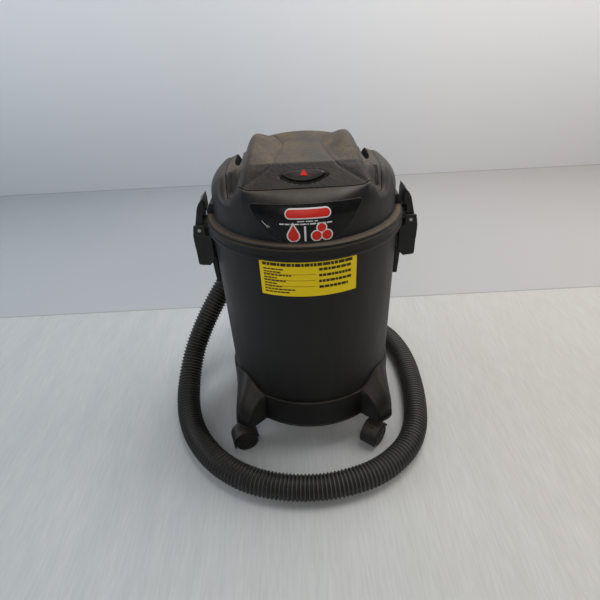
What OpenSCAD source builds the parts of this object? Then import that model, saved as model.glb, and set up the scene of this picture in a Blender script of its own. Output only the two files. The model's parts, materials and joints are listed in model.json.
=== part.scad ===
// Small wet and dry shop vacuum: drum on a caster base, powered head, side latches and hose.
// Frame: +Z up, origin on the floor under the drum's axis, front towards -Y, millimetres.

/* [Tank] */
// Outer radius of the tank wall just under the rim
tank_top_r = 138.2; // [130:0.1:160]
// Outer radius of the tank wall at its base
tank_base_r = 131.6; // [124:0.1:150]
// Height of the tank from its base to the top of the rim
tank_h = 317.5; // [260:0.5:400]
// Thickness of the tank wall
tank_wall = 2.6; // [2:0.1:4]
// How far the rim stands out from the wall
rim_out = 5.8; // [4:0.1:8]
// Height of the rim band
rim_h = 17; // [12:0.5:24]

/* [Caster base] */
// Height of the base ring's lower edge above the floor
base_z = 52; // [48:1:70]
// Height of the base ring
base_h = 50; // [40:1:70]
// Thickness of the base ring's wall
base_wall = 3.4; // [2.5:0.1:5]
// How far a caster's pivot stands outside the base ring
pivot_out = 21; // [17:0.5:32]
// Direction of the front right and rear right pivots, in degrees from the X axis
pivot_dir = 47.8; // [40:0.1:55]
// How high a leg climbs the tank above the base ring
leg_rise = 22; // [10:1:40]

/* [Casters] */
// Radius of a caster wheel
wheel_r = 19; // [15:0.5:22]
// Width of a caster wheel
wheel_w = 8.5; // [7:0.5:11]
// Distance from the pivot to the axle
trail = 12; // [10:0.5:16]
// Radius of the caster's axle
axle_r = 2; // [1.5:0.1:3]
// Radius of the caster's stem
stem_r = 4; // [3:0.1:5]

/* [Head] */
// How far the lid's wall steps in from the rim
lid_step = 11; // [8:0.5:16]
// Height of the lid from the top of the rim flange to the opening for the cover
lid_h = 69.5; // [60:0.5:90]
// Thickness of the lid and cover walls
head_wall = 3; // [2.4:0.1:4]
// Height of the top cover's humps above the lid's opening
hump_h = 31; // [20:1:45]
// Distance from the cover's side edge to the lid's widest radius
cover_side_step = 27; // [22:0.5:34]
// Distance from the cover's front edge to the lid's widest radius
cover_front_step = 36; // [30:0.5:44]

/* [Motor] */
// Radius of the motor shaft
shaft_r = 4; // [3:0.1:5]
// Radius of the impeller
impeller_r = 55; // [45:1:60]
// Radius of the armature core
armature_r = 21.5; // [18:0.5:24]
// Radial gap between armature and stator
air_gap = 0.6; // [0.4:0.1:1.5]

/* [Filter] */
// Radius of the filter cage
cage_r = 56; // [48:1:62]
// Length of the filter cage under the motor plate
cage_h = 140; // [110:1:170]
// Radius of the float ball
ball_r = 19; // [16:0.5:24]
// Thickness of the foam filter sleeve
foam_t = 8; // [5:0.5:12]

/* [Hose] */
// Outer diameter of the corrugated hose
hose_d = 41; // [36:1:46]
// Inner diameter of the corrugated hose
hose_bore = 34; // [28:1:38]
// Length of the tool cuff's straight bore
tool_bore_h = 45; // [30:1:60]
// Radius of the tool cuff's bore
tool_bore_r = 16.5; // [14:0.1:18]

/* [Latches] */
// Width of a latch along its pin
latch_w = 36; // [28:1:46]
// Radius of a latch pin
latch_pin_r = 2.5; // [2:0.1:4]

/* [Hidden] */
$fn = 96;
fit = 0.5;      // gap between pieces of one body that sit in each other
run = 0.05;     // radial gap of a shaft in its bore
move = 0.4;     // gap between pieces that move past each other
eps = 0.02;

// heights and radii of the tank
base_floor = 4;                          // floor flange of the base that carries the tank
tank_z = base_z + base_floor;
rim_z = tank_z + tank_h;                 // top of the tank's rim
taper = (tank_top_r - tank_base_r) / (tank_h - rim_h);
function tank_r(z) = tank_base_r + taper * (z - tank_z);
rim_r = tank_top_r + rim_out;
mouth_r = tank_top_r - tank_wall;
rim_skin = 2.6;                          // thickness of the rim's top and band
ear_w = latch_w + 8;
ear_out = 4;

// inlet on the back of the tank
port_z = rim_z - 88;
port_r = 23;
port_bore_r = 18.6;
port_face_y = tank_top_r + 18;

// tank label
label_half_angle = 27.5;
label_top_z = rim_z - rim_h - 1;
label_h = 54;
label_t = 0.5;

// screws
screw_r = 1.9;
screw_head_r = 4;
screw_head_h = 2;
screw_free = 0.3;                        // radial clearance of a screw in a through hole
screw_ring_r = tank_base_r - 9;
boss_wall = 3;

// caster base
ring_top_z = base_z + base_h;
ring_r = tank_r(ring_top_z) + fit + base_wall;
leg_top_z = ring_top_z + leg_rise;
leg_root = 16;                           // how far inside the ring a leg starts
leg_half = 46;                           // half width of a leg at its root
foot_half = 20;                          // half width of a foot at the pivot
foot_out = 19;                           // how far a foot reaches beyond the pivot
pivot_r = ring_r + pivot_out;
pivot_x = pivot_r * cos(pivot_dir);
pivot_y = pivot_r * sin(pivot_dir);
boss_r = stem_r + 5;
socket_h = 26;

// casters
roof_gap = 0.8;                           // between the wheels and the hood's roof
roof_t = 2.4;
hood_top_z = base_z - 1.5;
wheel_gap = 11;                          // between a caster's wheels, where the hood's body is
hood_body_w = wheel_gap - 2 * move;
hub_r = 6;
axle_z = wheel_r;
wheel_face = 2.5;                        // closed outer face over the axle's end
caster_w = wheel_gap + 2 * wheel_w;
collar_wall = 3.5;
stem_in_hood = 17;

// latches and their brackets
bracket_in = tank_top_r + 2;
bracket_out = rim_r + 23;
bracket_top = rim_z - 29;
bracket_bot = rim_z - 77;
bracket_wall = 3.6;
bracket_half = latch_w / 2 + bracket_wall + move;
rib_drop = 42;
pin_x = rim_r + 13;
pin_z = rim_z - 20;
barrel_r = 7;
latch_gap = 1;                           // between the latch and the rim's radius

// lid
flange_z = rim_z + 0.5;                  // underside of the lid's flange
flange_t = 3.5;
flange_r = rim_r - 1;
lid_r = rim_r - lid_step;
lid_z = flange_z + flange_t;             // top of the flange, foot of the lid's wall
lid_top_z = lid_z + lid_h;
spigot_r = mouth_r - 0.8;
spigot_h = 12;
SHOULDER = [[lid_r, lid_z + 27.5], [lid_r - 3, lid_z + 40], [lid_r - 10, lid_z + 52],
    [lid_r - 20, lid_z + 61], [lid_r - 30, lid_top_z]];
plate_t = 3;
plate_z = flange_z - 8;
plate_screw_r = lid_r - 25;
lid_boss_r = 5;
shelf_z = lid_z;                         // inner shelf that carries the cover
shelf_in_r = plate_screw_r - 12;
head_label_half = 26;
head_label_z = lid_z + 3;
head_label_h = 24;
gland_z = lid_z + 17;
gland_r = 9;
gland_bore_r = 4.5;

// top cover
cover_half_w = lid_r - cover_side_step;
cover_half_d = lid_r - cover_front_step;
hump_z = lid_top_z + hump_h;
cover_base_z = lid_z + 34;
panel_front_z = hump_z - 16;
panel_back_z = hump_z - 9;
panel_tilt = atan((panel_back_z - panel_front_z) / 135);
scoop_z = hump_z - 50;                   // valley of the grip recesses
grip_w = 16;
grip_l = 56;
grip_h = 13;
cover_screw_in = 14;
cover_screw_y = 50;
switch_y = -cover_half_d + 10;
switch_z = hump_z - 27;
switch_w = 38;
switch_pin_r = 2;

// motor
eye_r = 17;                              // air inlet of the impeller and seat of the float
case_r = impeller_r + 7;
case_h = 28;
case_z = plate_z + plate_t;
case_t = 1.6;
impeller_z = case_z + 4;
impeller_h = 18.2;
vane_t = 1.2;
frame_z = case_z + case_h + 0.5;
frame_t = 3;
core_z = frame_z + 11;
core_h = 24;
stator_in_r = armature_r + air_gap;
stator_r = stator_in_r + 16.9;
bearing_r = 11;
bearing_h = 6;
top_bracket_z = core_z + core_h + 14;
shaft_top_z = top_bracket_z + 15;
comm_z = core_z + core_h + 2;
comm_h = 10;
comm_r = 10;

// filter
cage_top_z = plate_z;
cage_z = cage_top_z - cage_h;
cage_wall = 4;
cage_pitch = 34;
float_rest_z = cage_z + cage_wall + ball_r + 0.3;
sleeve_r = cage_r + move;
sleeve_z = cage_z + 6;
sleeve_h = cage_h - 20;

// hose elbow and cuff
elbow_bend = 40;                         // radius of the elbow's bend
elbow_roll = 30;                         // how far the elbow's outlet points down
elbow_socket = 30;
elbow_collar = 4;
elbow_plug = 24;
elbow_r = 20;
elbow_bore_r = 16;
elbow_y = port_face_y + elbow_collar;
cuff_h = 72;
cuff_grip_h = 24;
// The four casters as [x sign, y sign, direction in which the wheels trail].
CORNERS = [[-1, -1, 197], [1, -1, 231], [-1, 1, 163], [1, 1, 129]];

// ---------------------------------------------------------------- tank
module tank() {
    color("#33353a")
    difference() {
        union() {
            rotate_extrude() polygon([
                [0, tank_z], [tank_base_r - 4, tank_z], [tank_base_r, tank_z + 4],
                [tank_top_r, rim_z - rim_h], [rim_r, rim_z - rim_h], [rim_r, rim_z],
                [rim_r - rim_skin, rim_z], [rim_r - rim_skin, rim_z - rim_skin], [mouth_r, rim_z - rim_skin],
                [mouth_r, rim_z - rim_h],
                [tank_base_r - tank_wall, tank_z + 6], [tank_base_r - 7, tank_z + tank_wall],
                [0, tank_z + tank_wall]]);
            for (s = [-1, 1]) rim_ear(s);
            // bosses that take the base screws
            for (a = [0:90:270]) rotate([0, 0, a]) translate([screw_ring_r, 0, tank_z + eps])
                cylinder(r = screw_r + boss_wall, h = 11);
        }
        for (a = [0:90:270]) rotate([0, 0, a]) translate([screw_ring_r, 0, tank_z - 1])
            cylinder(r = screw_r + run, h = 10);
        // hollow under the rim band, between the band and the wall
        rotate_extrude() translate([tank_top_r, rim_z - rim_h - 1])
            square([rim_out - rim_skin + 0.2, rim_h - 2 * rim_skin + 1]);
        // hole for the inlet fitting
        translate([0, tank_top_r - 20, port_z]) rotate([-90, 0, 0])
            cylinder(r = port_r + fit, h = 40);
    }
}

module rim_ear(s) {
    translate([s > 0 ? rim_r - 2 : -rim_r - ear_out, -ear_w / 2, rim_z - rim_h])
        cube([ear_out + 2, ear_w, rim_h - 8]);
}

// ---------------------------------------------------------------- inlet
module inlet_fitting() {
    color("#232427")
    translate([0, 0, port_z]) rotate([-90, 0, 0]) difference() {
        union() {
            translate([0, 0, tank_top_r - 12]) cylinder(r = port_r, h = port_face_y - tank_top_r + 12);
            translate([0, 0, tank_top_r + 1.5]) cylinder(r = port_r + 6, h = 5);
            translate([0, 0, tank_top_r - 12]) cylinder(r = port_r + 3.5, h = 3);
        }
        translate([0, 0, tank_top_r - 20]) cylinder(r = port_bore_r, h = 60);
    }
}

// ---------------------------------------------------------------- labels
module tank_label() {
    color("#e6dc1e")
    rotate([0, 0, 270 - label_half_angle]) rotate_extrude(angle = 2 * label_half_angle)
        polygon([[tank_r(label_top_z - label_h) + 0.02, label_top_z - label_h],
            [tank_r(label_top_z - label_h) + label_t, label_top_z - label_h],
            [tank_r(label_top_z) + label_t, label_top_z], [tank_r(label_top_z) + 0.02, label_top_z]]);
}

module head_label() {
    color("#191a1c")
    rotate([0, 0, 270 - head_label_half]) rotate_extrude(angle = 2 * head_label_half)
        translate([lid_r + 0.02, head_label_z]) square([label_t, head_label_h]);
}

// ---------------------------------------------------------------- caster base
module leg_solid(inset) {
    reach = pivot_r + foot_out - inset;
    root = ring_r - leg_root;
    intersection() {
        translate([0, 0, base_z - 1]) linear_extrude(height = base_h + leg_rise + 2)
            polygon([[root, -leg_half + inset], [reach - 12, -foot_half + inset], [reach, -foot_half + 8 + inset],
                [reach, foot_half - 8 - inset], [reach - 12, foot_half - inset], [root, leg_half - inset]]);
        rotate([90, 0, 0]) linear_extrude(height = 100, center = true)
            polygon([[root, base_z - inset], [reach, base_z - inset], [reach, base_z + 10 - inset],
                [reach - 12, base_z + 34 - inset], [ring_r + 10 - inset, base_z + 60 - inset],
                [ring_r + 1 - inset, leg_top_z - inset], [root, leg_top_z - inset]]);
    }
}

module at_corners() {
    for (c = CORNERS) mirror([c[0] < 0 ? 1 : 0, 0, 0]) mirror([0, c[1] < 0 ? 1 : 0, 0])
        rotate([0, 0, pivot_dir]) children();
}

module dolly() {
    color("#2f3034")
    difference() {
        union() {
            difference() {
                union() {
                    translate([0, 0, base_z]) cylinder(r = ring_r, h = base_h);
                    at_corners() difference() {
                        leg_solid(0);
                        leg_solid(base_wall);
                    }
                }
                // room for the tank, from the floor flange up
                translate([0, 0, tank_z])
                    cylinder(r1 = tank_base_r + fit, r2 = tank_r(leg_top_z + 10) + fit,
                        h = leg_top_z + 10 - tank_z);
                translate([0, 0, base_z - 1]) cylinder(r = tank_base_r - 14, h = 20);
            }
            at_corners() translate([pivot_r, 0, base_z])
                cylinder(r = boss_r, h = socket_h + 4);
        }
        at_corners() translate([pivot_r, 0, base_z - 1]) cylinder(r = stem_r + run, h = socket_h + 1);
        for (a = [0:90:270]) rotate([0, 0, a]) translate([screw_ring_r, 0, base_z - 1])
            cylinder(r = screw_r + screw_free, h = 8);
    }
}

// A screw pointing up, its head's upper face at z = 0.
module screw(shank) {
    translate([0, 0, -screw_head_h]) cylinder(r = screw_head_r, h = screw_head_h);
    translate([0, 0, -eps]) cylinder(r = screw_r, h = shank);
}

module dolly_screws() {
    color("#8d9096")
    for (a = [0:90:270]) rotate([0, 0, a]) translate([screw_ring_r, 0, base_z]) screw(11);
}

// ---------------------------------------------------------------- casters

// Places a caster's parts: pivot at the corner, +X pointing the way the wheel trails.
module at_pivot(c) {
    translate([c[0] * pivot_x, c[1] * pivot_y, 0]) rotate([0, 0, c[2]]) children();
}

module caster_hood(c) {
    color("#3d3f44")
    at_pivot(c) difference() {
        union() {
            // centre body between the wheels
            translate([trail, 0, axle_z]) rotate([90, 0, 0])
                cylinder(r = wheel_r - 2, h = hood_body_w, center = true);
            // arched roof over both wheels
            translate([trail, 0, axle_z]) rotate([90, 0, 0]) difference() {
                cylinder(r = wheel_r + roof_gap + roof_t, h = caster_w, center = true);
                cylinder(r = wheel_r + roof_gap, h = caster_w + 2, center = true);
                rotate([0, 0, -20]) translate([-60, -120 - 2, -30]) cube([120, 120, 60]);
            }
            translate([trail, 0, axle_z + wheel_r - 4]) translate([0, 0, 3])
                cube([20, hood_body_w, 8], center = true);
            // collar round the stem
            translate([0, 0, hood_top_z - 21]) cylinder(r = stem_r + collar_wall, h = 21);
        }
        translate([0, 0, hood_top_z - stem_in_hood - 1]) cylinder(r = stem_r + run, h = 30);
        translate([trail, 0, axle_z]) rotate([90, 0, 0])
            cylinder(r = axle_r + run, h = 80, center = true);
        // the wheels' room through the collar
        for (s = [-1, 1]) translate([trail, s * (wheel_gap + wheel_w) / 2, axle_z]) rotate([90, 0, 0])
            cylinder(r = wheel_r + 0.8, h = wheel_w, center = true);
        translate([-60, -60, -80]) cube([120, 120, 80 + 3]);
    }
}

module caster_stem(c) {
    color("#9a9da3")
    at_pivot(c) translate([0, 0, hood_top_z - stem_in_hood])
        cylinder(r = stem_r, h = stem_in_hood + base_z - hood_top_z + socket_h - 2);
}

module caster_axle(c) {
    color("#9a9da3")
    at_pivot(c) translate([trail, 0, axle_z]) rotate([90, 0, 0])
        cylinder(r = axle_r, h = caster_w - 2 * wheel_face - 1, center = true);
}

// A wheel with a closed outer face; each of a caster's two wheels turns by itself on the axle.
module wheel(c, s) {
    color("#26272a")
    at_pivot(c) translate([trail, 0, axle_z])
        translate([0, s * (wheel_gap + wheel_w) / 2, 0]) rotate([-s * 90, 0, 0]) difference() {
            translate([0, 0, -wheel_w / 2]) rotate_extrude() polygon([
                [0, 0], [wheel_r - 1, 0], [wheel_r, 1], [wheel_r, wheel_w - 2],
                [wheel_r - 2, wheel_w], [wheel_r - 4, wheel_w], [wheel_r - 5, wheel_w - 1],
                [hub_r, wheel_w - 1], [hub_r, wheel_w], [0, wheel_w]]);
            translate([0, 0, -wheel_w]) cylinder(r = axle_r + run, h = 1.5 * wheel_w - wheel_face);
        }
}

// ---------------------------------------------------------------- latches

module latch_bracket(s) {
    color("#232427")
    mirror([s < 0 ? 1 : 0, 0, 0]) difference() {
        union() {
            rotate([90, 0, 0]) linear_extrude(height = 2 * bracket_half, center = true)
                polygon([[bracket_in, bracket_bot + 8], [bracket_in + 9, bracket_bot - 2],
                    [bracket_out - 1, bracket_bot], [bracket_out + 1, bracket_top],
                    [bracket_in, bracket_top]]);
            // ears that hold the pin
            for (y = [-1, 1]) translate([0, y * (bracket_half - bracket_wall / 2), 0]) rotate([90, 0, 0])
                linear_extrude(height = bracket_wall, center = true)
                polygon([[rim_r + ear_out + move, bracket_top - 1], [bracket_out + 1, bracket_top - 1],
                    [bracket_out - 2, pin_z + 8], [rim_r + ear_out + move, pin_z + 8]]);
            // rib down the tank wall
            rotate([90, 0, 0]) linear_extrude(height = 8, center = true)
                polygon([[bracket_in, bracket_bot + 10], [bracket_in + 9, bracket_bot],
                    [bracket_in + 6, bracket_bot - rib_drop], [bracket_in - 1, bracket_bot - rib_drop]]);
        }
        // finger recess, open below
        translate([bracket_in + 5, -bracket_half + bracket_wall, bracket_bot - 3])
            cube([bracket_out - bracket_in - 5 - bracket_wall, 2 * (bracket_half - bracket_wall),
                bracket_top - bracket_bot - 1]);
        translate([pin_x, 0, pin_z]) rotate([90, 0, 0])
            cylinder(r = latch_pin_r + run, h = 100, center = true);
        // the tank's wall, rim and ear pass behind
        translate([0, 0, tank_z]) cylinder(r = tank_top_r + 0.1, h = tank_h);
        translate([0, 0, rim_z - rim_h - 0.3]) cylinder(r = rim_r + 0.3, h = rim_h + 2);
    }
}

module latch(s) {
    color("#1f2023")
    mirror([s < 0 ? 1 : 0, 0, 0]) difference() {
        union() {
            translate([pin_x, 0, pin_z]) rotate([90, 0, 0])
                cylinder(r = barrel_r, h = latch_w, center = true);
            rotate([90, 0, 0]) linear_extrude(height = latch_w, center = true)
                polygon([[pin_x - 6, pin_z], [pin_x + barrel_r, pin_z], [pin_x + 5, pin_z + 10],
                    [pin_x - 0.5, pin_z + 33], [pin_x - 4, pin_z + 40], [pin_x - 11, pin_z + 47.5],
                    [rim_r + latch_gap, pin_z + 40], [rim_r + latch_gap, pin_z + 24.5], [pin_x - 8, pin_z + 22]]);
        }
        // hollow outer face between two side ribs
        translate([pin_x - 2.5, 0, pin_z + 28]) rotate([0, -12, 0])
            cube([8, latch_w - 8, 26], center = true);
        translate([pin_x, 0, pin_z]) rotate([90, 0, 0])
            cylinder(r = latch_pin_r + run, h = 100, center = true);
    }
}

module latch_pin(s) {
    color("#9a9da3")
    translate([s * pin_x, 0, pin_z]) rotate([90, 0, 0])
        cylinder(r = latch_pin_r, h = 2 * bracket_half, center = true);
}

// ---------------------------------------------------------------- lid

module cover_outline(grow) {
    w = cover_half_w + grow;
    d = cover_half_d + grow;
    polygon([[-w + 22, -d], [w - 22, -d], [w - 5, -d + 31], [w, -d + 60], [w, d - 60],
        [w - 5, d - 31], [w - 22, d], [-w + 22, d], [-w + 5, d - 31], [-w, d - 60],
        [-w, -d + 60], [-w + 5, -d + 31]]);
}

module lid() {
    color("#3b3d42")
    difference() {
        union() {
            rotate_extrude() polygon(concat(
                [[spigot_r - head_wall, flange_z - spigot_h], [spigot_r, flange_z - spigot_h],
                    [spigot_r, flange_z], [flange_r, flange_z], [flange_r, lid_z], [lid_r, lid_z]],
                SHOULDER,
                [for (i = [len(SHOULDER) - 1:-1:0]) SHOULDER[i] - [head_wall, head_wall * i / 4]],
                [[spigot_r - head_wall, lid_z]]));
            // bosses that take the motor plate's screws
            for (a = [45:90:315]) rotate([0, 0, a]) translate([plate_screw_r, 0, plate_z + plate_t])
                cylinder(r = lid_boss_r, h = 20);
            // ring shelf that joins the bosses to the wall and carries the cover
            translate([0, 0, shelf_z]) difference() {
                cylinder(r = lid_r - 1, h = head_wall);
                translate([0, 0, -1]) cylinder(r = shelf_in_r, h = 10);
            }
        }
        at_cover_screws() translate([0, 0, shelf_z - 1]) cylinder(r = screw_r + screw_free, h = 10);
        translate([0, 0, lid_z + 30]) linear_extrude(height = 80) cover_outline(fit);
        for (a = [45:90:315]) rotate([0, 0, a]) translate([plate_screw_r, 0, plate_z + plate_t - 1])
            cylinder(r = screw_r + run, h = 16);
        // hole for the cord gland
        translate([0, lid_r - 20, gland_z]) rotate([-90, 0, 0]) cylinder(r = gland_r + fit, h = 30);
    }
}

module lid_seal() {
    color("#151516")
    translate([0, 0, rim_z - rim_skin]) difference() {
        cylinder(r = rim_r - rim_skin - 0.4, h = flange_z - rim_z + rim_skin);
        translate([0, 0, -1]) cylinder(r = mouth_r + 0.6, h = 6);
    }
}

// ---------------------------------------------------------------- top cover

// Front view of the cover, inset by t inside.
module cover_front_view(t) {
    w = cover_half_w - t;
    half = [[w, cover_base_z - 1], [w, lid_top_z - t], [cover_half_w - 8 - t / 2, scoop_z + 3 - t],
        [cover_half_w - 20, scoop_z - t], [cover_half_w - 23 - t, scoop_z + 10 - t],
        [cover_half_w - 33 - t, hump_z - 8 - t], [cover_half_w - 42 - t / 2, hump_z - t],
        [cover_half_w - 52, hump_z - t], [24, hump_z - 5 - t]];
    polygon(concat(half, [for (i = [len(half) - 1:-1:0]) [-half[i][0], half[i][1]]]));
}

// Side view of the cover, inset by t inside.
module cover_side_view(t) {
    d = cover_half_d - t;
    polygon([[-d, cover_base_z - 1], [-d, lid_top_z - 9 - t], [-d + 20, hump_z - 17 - t],
        [-d + 45, hump_z - 8 - t], [-15, hump_z - t], [30, hump_z - t], [d - 28, hump_z - 10 - t],
        [d - 8, hump_z - 30 - t], [d, lid_top_z - 12 - t], [d, cover_base_z - 1]]);
}

module cover_shape(t) {
    intersection() {
        translate([0, 0, cover_base_z]) linear_extrude(height = 100) cover_outline(-t);
        rotate([90, 0, 0]) linear_extrude(height = 240, center = true) cover_front_view(t);
        rotate([90, 0, 90]) linear_extrude(height = 240, center = true) cover_side_view(t);
    }
}

// Space above the waisted centre panel between the humps, grown by t at its sides, from height z up.
module panel_prism(t, z) {
    translate([0, -cover_half_d + 22, panel_front_z]) rotate([panel_tilt, 0, 0])
        translate([0, 0, z]) linear_extrude(height = 40)
        polygon([[-48 - t, -30], [48 + t, -30], [28 + t, 12], [20 + t, 50], [28 + t, 110], [34 + t, 150],
            [-34 - t, 150], [-28 - t, 110], [-20 - t, 50], [-28 - t, 12]]);
}

module top_cover() {
    color("#46433f")
    difference() {
        union() {
            difference() {
                cover_shape(0);
                difference() {
                    translate([0, 0, -eps]) cover_shape(head_wall);
                    panel_prism(head_wall, -head_wall);
                }
            }
            // bosses that reach down to the lid's shelf
            at_cover_screws() translate([0, 0, shelf_z + head_wall])
                cylinder(r = lid_boss_r, h = scoop_z - shelf_z - 5);
        }
        panel_prism(0, 0);
        // finger openings under the humps
        for (s = [-1, 1]) translate([s * (cover_half_w - 26), 8, scoop_z + 9])
            cube([grip_w, grip_l, grip_h], center = true);
        // exhaust slots at the back
        for (x = [-50:10:50]) translate([x, cover_half_d - 6, hump_z - 36]) cube([5, 30, 14], center = true);
        // switch opening
        translate([0, switch_y, switch_z]) rotate([45, 0, 0]) cube([switch_w + 6, 14, 20], center = true);
        at_cover_screws() translate([0, 0, shelf_z]) cylinder(r = screw_r + run, h = 25);
    }
}

module at_cover_screws() {
    for (x = [-1, 1]) for (y = [-1, 1])
        translate([x * (cover_half_w - cover_screw_in), y * cover_screw_y, 0]) children();
}
module cover_screws() {
    color("#8d9096")
    at_cover_screws() translate([0, 0, shelf_z]) screw(22);
}

// ---------------------------------------------------------------- switch
module switch_rocker() {
    color("#2a2b2e")
    translate([0, switch_y, switch_z]) rotate([45, 0, 0]) difference() {
        union() {
            cube([switch_w, 12, 10], center = true);
            rotate([0, 90, 0]) cylinder(r = 5.5, h = switch_w, center = true);
        }
        rotate([0, 90, 0]) cylinder(r = switch_pin_r + run, h = 80, center = true);
    }
}

module switch_body() {
    color("#17181a")
    translate([0, switch_y, switch_z]) rotate([45, 0, 0]) {
        rotate([0, 90, 0]) cylinder(r = switch_pin_r, h = switch_w + 3.4, center = true);
        for (s = [-1, 1]) translate([s * (switch_w / 2 + 1.3), 0, -6]) cube([1.4, 10, 18], center = true);
        translate([0, 0, -16]) cube([switch_w + 4, 12, 6], center = true);
    }
}

// ---------------------------------------------------------------- cord gland
module cord_gland() {
    color("#151516")
    translate([0, 0, gland_z]) rotate([-90, 0, 0]) difference() {
        union() {
            translate([0, 0, lid_r - 8]) cylinder(r = gland_r, h = 16);
            translate([0, 0, lid_r + 0.6]) cylinder(r = gland_r + 3, h = 4);
        }
        translate([0, 0, lid_r - 20]) cylinder(r = gland_bore_r, h = 60);
    }
}

// ---------------------------------------------------------------- motor

module motor_plate() {
    color("#2b2c30")
    difference() {
        translate([0, 0, plate_z]) cylinder(r = plate_screw_r + 8, h = plate_t);
        translate([0, 0, plate_z - 1]) cylinder(r = eye_r, h = 10);
        for (a = [45:90:315]) rotate([0, 0, a]) translate([plate_screw_r, 0, plate_z - 1])
            cylinder(r = screw_r + screw_free, h = 10);
    }
}

module plate_screws() {
    color("#8d9096")
    for (a = [45:90:315]) rotate([0, 0, a]) translate([plate_screw_r, 0, plate_z]) screw(14);
}

module fan_case() {
    color("#a9abad")
    translate([0, 0, case_z]) difference() {
        cylinder(r = case_r, h = case_h);
        translate([0, 0, -1]) cylinder(r = case_r - case_t, h = case_h - case_t + 1);
        cylinder(r = 12, h = 60);
        for (a = [0:45:315]) rotate([0, 0, a]) translate([case_r, 0, case_h / 2])
            cube([12, 22, 8], center = true);
    }
}

module impeller() {
    color("#b9bbbd")
    translate([0, 0, impeller_z]) difference() {
        union() {
            translate([0, 0, impeller_h - vane_t]) cylinder(r = impeller_r, h = vane_t);
            difference() {
                cylinder(r = impeller_r, h = vane_t);
                translate([0, 0, -1]) cylinder(r = eye_r, h = 4);
            }
            for (a = [0:40:320]) rotate([0, 0, a]) translate([eye_r + 1, -vane_t / 2, 0.6])
                cube([impeller_r - eye_r - 2, vane_t, impeller_h - vane_t]);
            translate([0, 0, 1]) cylinder(r = 9, h = impeller_h - 1);
        }
        translate([0, 0, -1]) cylinder(r = shaft_r, h = 40);
    }
}

module impeller_nut() {
    color("#9a9da3")
    translate([0, 0, impeller_z - 4.5]) difference() {
        cylinder(r = 8, h = 5.4, $fn = 6);
        translate([0, 0, -1]) cylinder(r = shaft_r, h = 10);
    }
}

module motor_frame() {
    color("#8f9194")
    difference() {
        union() {
            translate([0, 0, frame_z]) cylinder(r = stator_r + 7, h = frame_t);
            for (z = [frame_z, top_bracket_z]) translate([0, 0, z])
                cylinder(r = bearing_r + 3, h = bearing_h + 2);
            translate([0, 0, top_bracket_z + 4]) cube([2 * stator_r + 8, 18, 4], center = true);
            for (s = [-1, 1]) translate([s * (stator_r + 2.5), 0, (frame_z + top_bracket_z + 6) / 2])
                cube([4, 18, top_bracket_z + 6 - frame_z], center = true);
        }
        translate([0, 0, frame_z - 1]) cylinder(r = shaft_r + 3, h = 100);
        translate([0, 0, frame_z + 1.5]) cylinder(r = bearing_r, h = bearing_h + 1.5);
        translate([0, 0, top_bracket_z - 1]) cylinder(r = bearing_r, h = bearing_h + 1.5);
    }
}

module motor_stator() {
    color("#7a4a2a")
    translate([0, 0, core_z]) difference() {
        cylinder(r = stator_r, h = core_h);
        translate([0, 0, -1]) cylinder(r = stator_in_r, h = core_h + 2);
    }
}

module armature() {
    color("#8a6a3a")
    difference() {
        union() {
            translate([0, 0, core_z]) cylinder(r = armature_r, h = core_h);
            translate([0, 0, impeller_z - 5]) cylinder(r = shaft_r, h = shaft_top_z - impeller_z + 5);
        }
        for (a = [0:30:330]) rotate([0, 0, a]) translate([armature_r, 0, core_z - 1])
            cylinder(r = 1.6, h = core_h + 2);
    }
}

module commutator() {
    color("#b87333")
    translate([0, 0, comm_z]) difference() {
        cylinder(r = comm_r, h = comm_h);
        translate([0, 0, -1]) cylinder(r = shaft_r, h = 30);
    }
}

module carbon_brushes() {
    color("#1a1a1a")
    for (s = [-1, 1]) translate([0, s * (comm_r + 8 + 0.3), comm_z + comm_h / 2])
        cube([7, 16, 6], center = true);
}

module bearing(z) {
    color("#c3c5c7")
    translate([0, 0, z]) difference() {
        cylinder(r = bearing_r - run, h = bearing_h);
        translate([0, 0, -1]) cylinder(r = shaft_r + run, h = 10);
    }
}
module bearing_bottom() { bearing(frame_z + 1.6); }
module bearing_top() { bearing(top_bracket_z + 0.2); }

module cooling_fan() {
    color("#e0e0dc")
    translate([0, 0, shaft_top_z - 5]) difference() {
        union() {
            cylinder(r = 8, h = 5);
            cylinder(r = 27, h = 1);
            for (a = [0:30:330]) rotate([0, 0, a]) translate([7, -0.6, 0]) cube([20, 1.2, 5]);
        }
        translate([0, 0, -1]) cylinder(r = shaft_r, h = 10);
    }
}

// ---------------------------------------------------------------- filter
module filter_cage() {
    color("#3a3c40")
    difference() {
        union() {
            translate([0, 0, cage_top_z - 5]) cylinder(r = cage_r, h = 5);
            translate([0, 0, cage_z]) cylinder(r = cage_r, h = cage_wall);
            for (z = [cage_z + cage_pitch:cage_pitch:cage_top_z - 20]) translate([0, 0, z])
                cylinder(r = cage_r, h = 3);
            intersection() {
                translate([0, 0, cage_z]) cylinder(r = cage_r, h = cage_h);
                for (a = [0:45:315]) rotate([0, 0, a]) translate([cage_r - cage_wall - 2, -3, cage_z])
                    cube([cage_wall + 3, 6, cage_h]);
            }
        }
        translate([0, 0, cage_z + cage_wall]) cylinder(r = cage_r - cage_wall, h = cage_h - cage_wall - 5);
        translate([0, 0, cage_top_z - 6]) cylinder(r = eye_r, h = 10);
    }
}

module float_ball() {
    color("#d8d8d2")
    translate([0, 0, float_rest_z]) sphere(r = ball_r);
}

module filter_sleeve() {
    color("#6d6f73")
    translate([0, 0, sleeve_z]) difference() {
        cylinder(r = sleeve_r + foam_t, h = sleeve_h);
        translate([0, 0, -1]) cylinder(r = sleeve_r, h = sleeve_h + 2);
    }
}

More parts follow.
